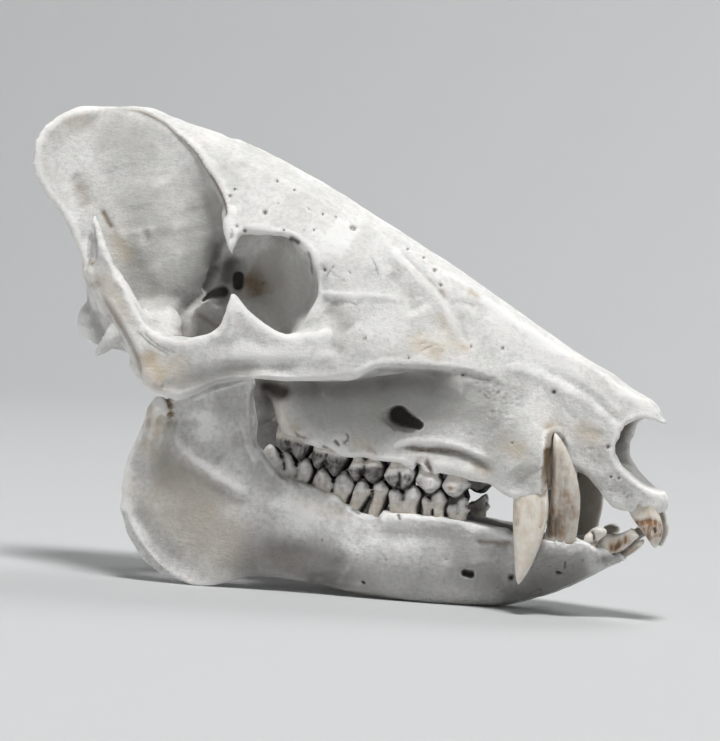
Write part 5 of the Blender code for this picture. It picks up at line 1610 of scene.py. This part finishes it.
def build_cheek_tooth(kind, settings, material):
    """One upper or lower cheek tooth of the right side, and the same one of the left."""
    node = nodes_of(kind)[0]
    upper = kind.startswith("upper")
    darkness, pale, necks, outline = CHEEK_FORMS[kind]
    relief = CHEEK_RELIEF[kind]
    low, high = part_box(node)
    outer, inner = -low[1] / MM, -high[1] / MM
    middle = (outer + inner) / 2
    down = 1 if upper else -1
    across = [place[0] for place in outline]
    ends = (min(across), max(across))

    def crown(places):
        """How far a place of the picture is from the neck towards the tip, in millimetres."""
        return (places[:, 1] - np.interp(places[:, 0], ends, necks)) * down * PIXEL

    def swell(places):
        """How the crown stands out at its widest, and how its inner side is set up or down."""
        share = crown(places)
        out = CROWN_SWELL * smoothstep(-1.0, 0.8, share) - CROWN_SWELL
        return out, INNER_SLOPE * down * np.maximum(share, 0)

    work = bmesh.new()
    slab(work, outline, outer, inner, CHEEK_EDGE, swell)
    surface = Surface(placed(node + "_tooth", work, settings.tooth_grain))
    row = [(spot(end, necks[0], middle)[0], middle) for end in ends]
    seen_from = {"view": "under" if upper else "top", "taper": False}
    surface.raise_lines([(row, *BASIN, seen_from), *relief])
    surface.undulate(*CHEEK_WAVES)

    height = crown(pixels(surface.place))
    top = max(crown(np.array(outline)))
    surface.marks["neck"] = smoothstep(0.5, -0.4, height)
    surface.marks["grey"] = darkness * smoothstep(pale - 0.08, pale + 0.16, height / top)
    surface.marks["brown"] = 0.16 * np.exp(-(height / 0.6) ** 2) + 0.25 * smoothstep(-1.5, -4, height)
    share, strength = FURROW_DARK
    surface.stain_and_shade("dark", [(line, width * share, strength)
                           for line, width, height_change in relief if height_change < 0])
    for mark, strokes in CHEEK_STAINS.get(kind, {}).items():
        surface.stain_and_shade(mark, strokes)
    # Painted shade where a tooth lies back from its outer face: its ends, between neighbours, its
    # bite
    inward = smoothstep(0.9, 2.4, outer - surface.depth)
    ahead = surface.turned[:, 0] * (-1 if kind.endswith("premolar_2") else 1)
    at_end = kind.endswith(("_molar_3", "premolar_2"))
    touching = smoothstep(0.35, 0.75, ahead if at_end else np.abs(ahead))
    biting = smoothstep(0.3, 0.8, -down * surface.turned[:, 2]) * smoothstep(0, 1.5, height)
    surface.marks["dark"] += 0.9 * inward * np.maximum(touching, 0.8 * biting)
    # Painted shade on the upper teeth's downward faces
    if upper:
        surface.marks["dark"] += 0.5 * smoothstep(0.2, 0.8, -surface.turned[:, 2]) * (height > 1)
    else:
        # Painted shadow of the upper teeth along the bite
        surface.stain_and_shade("dark", [(BITE, *BITE_SHADOW, {"facing": -0.5, "taper": False})])
    finish_pair(surface, CHEEK_INNER_SHADE, material, kind)


# Front teeth: how large a tusk is for the size that it shows, since it stands nearer the camera,
# and what share of an incisor's half thickness its edges are rounded by
TUSK_NEARNESS = 0.985
INCISOR_ROUNDNESS = 0.85
FRONT_WAVES = (5.0, 0.12)
# Strength of the painted shade on their inner faces
FRONT_INNER_SHADE = 0.6


def build_front_tooth(kind, settings, material):
    """A canine or incisor of the right side, and the same one of the left."""
    work = bmesh.new()
    if kind in TUSK_FORMS:
        horn(work, [[*spot(across, down, depth), half_width * PIXEL * TUSK_NEARNESS, thick]
                    for across, down, half_width, depth, thick in TUSK_FORMS[kind]])
    else:
        depth, half, outline = INCISOR_FORMS[kind]
        slab(work, outline, depth + half, depth - half, INCISOR_ROUNDNESS * half)
    surface = Surface(placed(nodes_of(kind)[0] + "_tooth", work, settings.tooth_grain))
    surface.raise_lines(FRONT_RELIEF.get(kind, []))
    surface.undulate(*FRONT_WAVES)
    for mark in ("neck", "grey", "brown", "dark"):
        surface.stain_and_shade(mark, FRONT_STAINS[kind].get(mark, []))
    finish_pair(surface, FRONT_INNER_SHADE, material, kind)


# How finely the floor and its bend are divided
FLOOR_SIDES = 96
BEND_STEPS = 16
FLOOR_ROUGHNESS = 0.85
# The lights: where each one stands, where it looks and how wide it is, in metres
MIDDLE = (0.0, 0.0, 0.08)
LIGHTS = {
    "key": ((0.35, -0.75, 2.75), MIDDLE, 0.8),
    "fill": ((-2.0, -1.6, 1.0), MIDDLE, 1.2),
    "back": ((0.4, 1.9, 2.0), (0.0, 1.6, 0.6), 1.4),
}


def turned(name, profile):
    """A surface turned round the upright axis from a profile of (radius, height)."""
    mesh = bpy.data.meshes.new(name)
    points = [(r, 0, z) for r, z in profile]
    mesh.from_pydata(points, [(i, i + 1) for i in range(len(points) - 1)], [])
    obj = added(name, mesh)
    screw = obj.modifiers.new("Turn", "SCREW")
    screw.steps = FLOOR_SIDES
    screw.render_steps = FLOOR_SIDES
    screw.use_merge_vertices = True
    screw.merge_threshold = 0.1 * MM
    obj.data = evaluated(obj)
    obj.data.shade_smooth()
    return obj


def area_light(name, place, aim, size, power):
    """A soft white light that looks at a point."""
    data = bpy.data.lights.new(name, "AREA")
    data.shape = "DISK"
    data.size = size
    data.energy = power
    obj = added(name, data)
    obj.location = place
    obj.rotation_euler = (Vector(aim) - Vector(place)).to_track_quat("-Z", "Y").to_euler()


def build_floor(settings):
    """Floor that bends up into a round wall."""
    bend = settings.bend
    wall = settings.floor_radius
    profile = [(0.0, 0.0), (wall * 0.3, 0.0), (wall - bend, 0.0)]
    for k in range(1, BEND_STEPS + 1):
        angle = math.pi / 2 * k / BEND_STEPS
        profile.append((wall - bend + bend * math.sin(angle), bend - bend * math.cos(angle)))
    profile.append((wall, settings.wall_height))
    floor = turned("floor", profile)
    floor.data.materials.append(
        plain_finish("pale_paint", tuple(settings.floor_colour), FLOOR_ROUGHNESS))


def build_camera():
    """The camera, where the picture was taken from."""
    data = bpy.data.cameras.new("camera")
    data.sensor_width = SENSOR
    data.lens = SENSOR * VIEW_DISTANCE / (max(PICTURE) * PIXEL)
    data.clip_start = 0.01
    camera = added("camera", data)
    direction = Vector(TO_CAMERA)
    turn = (-direction).to_track_quat("-Z", "Y").to_matrix().to_4x4()
    camera.matrix_world = STANDING @ Matrix.Translation(direction * VIEW_DISTANCE * MM) @ turn
    bpy.context.scene.camera = camera


def build_stage(settings):
    """Floor and backdrop, camera, soft lights and an even room light."""
    build_floor(settings)
    build_camera()
    for name, (place, aim, size) in LIGHTS.items():
        area_light(name, place, aim, size, getattr(settings, name + "_power"))
    bpy.context.scene.view_settings.view_transform = "Standard"
    world = bpy.data.worlds.new("room")
    bpy.context.scene.world = world
    world.use_nodes = True
    sky = world.node_tree.nodes["Background"]
    sky.inputs["Color"].default_value = (1.0, 1.0, 1.0, 1.0)
    sky.inputs["Strength"].default_value = settings.room_light


class SkullBoneSettings(bpy.types.PropertyGroup):
    """Sizes and colours of the two bones."""
    cranium_grain: bpy.props.FloatProperty(
        name="Cranium grain", description="Spacing of the cranium's mesh in millimetres",
        default=1.1, min=0.9, max=3.0)
    mandible_grain: bpy.props.FloatProperty(
        name="Mandible grain", description="Spacing of the mandible's mesh in millimetres",
        default=0.85, min=0.7, max=3.0)
    smoothing: bpy.props.IntProperty(
        name="Smoothing", description="Rounds of smoothing of the copied solids",
        default=12, min=0, max=60)
    bone_light: bpy.props.FloatVectorProperty(
        name="Bone", description="Colour of clean bone", subtype="COLOR",
        default=(0.86, 0.85, 0.825))
    jaw_light: bpy.props.FloatVectorProperty(
        name="Jaw bone", description="Colour of the mandible's clean bone", subtype="COLOR",
        default=(0.88, 0.875, 0.86))
    # Also the colour of the mandible's painted shade
    jaw_grey: bpy.props.FloatVectorProperty(
        name="Jaw grey", description="Colour of the mandible's weathered bone", subtype="COLOR",
        default=(0.33, 0.32, 0.305))
    # Also the colour of the cranium's painted shade
    bone_grey: bpy.props.FloatVectorProperty(
        name="Grey", description="Colour of weathered bone", subtype="COLOR",
        default=(0.44, 0.435, 0.41))
    # Also the colour of the painted shade in shut-in places
    bone_brown: bpy.props.FloatVectorProperty(
        name="Brown", description="Colour of stains", subtype="COLOR",
        default=(0.20, 0.13, 0.065))
    bone_tan: bpy.props.FloatVectorProperty(
        name="Tan", description="Colour of warm, oily bone", subtype="COLOR",
        default=(0.60, 0.49, 0.34))


class SkullToothSettings(bpy.types.PropertyGroup):
    """Sizes and colours of the teeth."""
    tooth_grain: bpy.props.FloatProperty(
        name="Tooth grain", description="Spacing of the teeth's meshes in millimetres",
        default=0.4, min=0.25, max=1.5)
    enamel_light: bpy.props.FloatVectorProperty(
        name="Enamel", description="Colour of worn enamel", subtype="COLOR",
        default=(0.80, 0.785, 0.75))
    enamel_dark: bpy.props.FloatVectorProperty(
        name="Dark enamel", description="Colour of the darkest enamel", subtype="COLOR",
        default=(0.082, 0.072, 0.074))
    enamel_streak: bpy.props.FloatVectorProperty(
        name="Enamel streaks", description="Shade of the enamel's streaks", subtype="COLOR",
        default=(0.62, 0.57, 0.53))
    root_colour: bpy.props.FloatVectorProperty(
        name="Root", description="Colour of the tooth necks", subtype="COLOR",
        default=(0.77, 0.74, 0.67))
    ivory_light: bpy.props.FloatVectorProperty(
        name="Ivory", description="Colour of the tusks and incisors", subtype="COLOR",
        default=(0.81, 0.765, 0.685))
    ivory_streak: bpy.props.FloatVectorProperty(
        name="Ivory streaks", description="Shade of the ivory's streaks", subtype="COLOR",
        default=(0.82, 0.72, 0.58))


class SkullStageSettings(bpy.types.PropertyGroup):
    """Sizes of the stage and strength of its lights."""
    floor_radius: bpy.props.FloatProperty(
        name="Radius", description="Radius of the floor", default=3.2, unit="LENGTH")
    bend: bpy.props.FloatProperty(
        name="Bend", description="Radius of the bend from floor to wall", default=1.4,
        unit="LENGTH")
    wall_height: bpy.props.FloatProperty(
        name="Wall height", description="Height of the wall", default=2.4, unit="LENGTH")
    floor_colour: bpy.props.FloatVectorProperty(
        name="Floor", description="Colour of the floor and wall", subtype="COLOR",
        default=(0.54, 0.545, 0.55))
    key_power: bpy.props.FloatProperty(
        name="Key light", description="Power of the main light in watts", default=72.0)
    fill_power: bpy.props.FloatProperty(
        name="Fill light", description="Power of the fill light in watts", default=6.0)
    back_power: bpy.props.FloatProperty(
        name="Back light", description="Power of the back light in watts", default=26.0)
    room_light: bpy.props.FloatProperty(
        name="Room light", description="Strength of the light from all round", default=0.10)


class SKULL_OT_cranium(bpy.types.Operator):
    """Make the cranium's fine surface"""
    bl_idname = "skull.cranium"
    bl_label = "Cranium"

    def execute(self, context):
        build_cranium(context.scene.skull_bone)
        return {"FINISHED"}


class SKULL_OT_mandible(bpy.types.Operator):
    """Make the mandible's fine surface"""
    bl_idname = "skull.mandible"
    bl_label = "Mandible"

    def execute(self, context):
        build_mandible(context.scene.skull_bone)
        return {"FINISHED"}


class SKULL_OT_cheek_teeth(bpy.types.Operator):
    """Make the molars and premolars"""
    bl_idname = "skull.cheek_teeth"
    bl_label = "Cheek teeth"

    def execute(self, context):
        settings = context.scene.skull_teeth
        enamel = tooth_finish("worn_enamel", *chosen_colours(
            settings, "enamel_light", "enamel_dark", "root_colour", "enamel_streak"))
        for kind in CHEEK_FORMS:
            build_cheek_tooth(kind, settings, enamel)
        return {"FINISHED"}


class SKULL_OT_front_teeth(bpy.types.Operator):
    """Make the canines and incisors"""
    bl_idname = "skull.front_teeth"
    bl_label = "Front teeth"

    def execute(self, context):
        settings = context.scene.skull_teeth
        ivory = tooth_finish("tooth_ivory", *chosen_colours(
            settings, "ivory_light", "enamel_dark", "root_colour", "ivory_streak"))
        for kind in (*TUSK_FORMS, *INCISOR_FORMS):
            build_front_tooth(kind, settings, ivory)
        return {"FINISHED"}


class SKULL_OT_stage(bpy.types.Operator):
    """Make the floor, the lights and the camera"""
    bl_idname = "skull.stage"
    bl_label = "Stage"

    def execute(self, context):
        build_stage(context.scene.skull_stage)
        return {"FINISHED"}


OPERATORS = (SKULL_OT_stage, SKULL_OT_cranium, SKULL_OT_mandible, SKULL_OT_cheek_teeth,
             SKULL_OT_front_teeth)
SETTINGS = {"skull_bone": SkullBoneSettings, "skull_teeth": SkullToothSettings,
            "skull_stage": SkullStageSettings}


class SKULL_PT_panel(bpy.types.Panel):
    """Lists the skull's pieces and the stage"""
    bl_idname = "SKULL_PT_panel"
    bl_label = "Javelina skull"
    bl_space_type = "VIEW_3D"
    bl_region_type = "UI"
    bl_category = "Skull"

    def draw(self, context):
        for operator in OPERATORS:
            self.layout.operator(operator.bl_idname)
        for name, group in SETTINGS.items():
            box = self.layout.box()
            for choice in group.__annotations__:
                box.prop(getattr(context.scene, name), choice)


CLASSES = (*SETTINGS.values(), *OPERATORS, SKULL_PT_panel)


def register():
    """Add the classes and the scene's settings."""
    for item in CLASSES:
        bpy.utils.register_class(item)
    for name, group in SETTINGS.items():
        setattr(bpy.types.Scene, name, bpy.props.PointerProperty(type=group))


def unregister():
    """Take them away again."""
    for name in SETTINGS:
        delattr(bpy.types.Scene, name)
    for item in reversed(CLASSES):
        bpy.utils.unregister_class(item)


def main():
    """Make everything."""
    register()
    for operator in OPERATORS:
        group, name = operator.bl_idname.split(".")
        getattr(getattr(bpy.ops, group), name)()


if __name__ == "__main__":
    main()
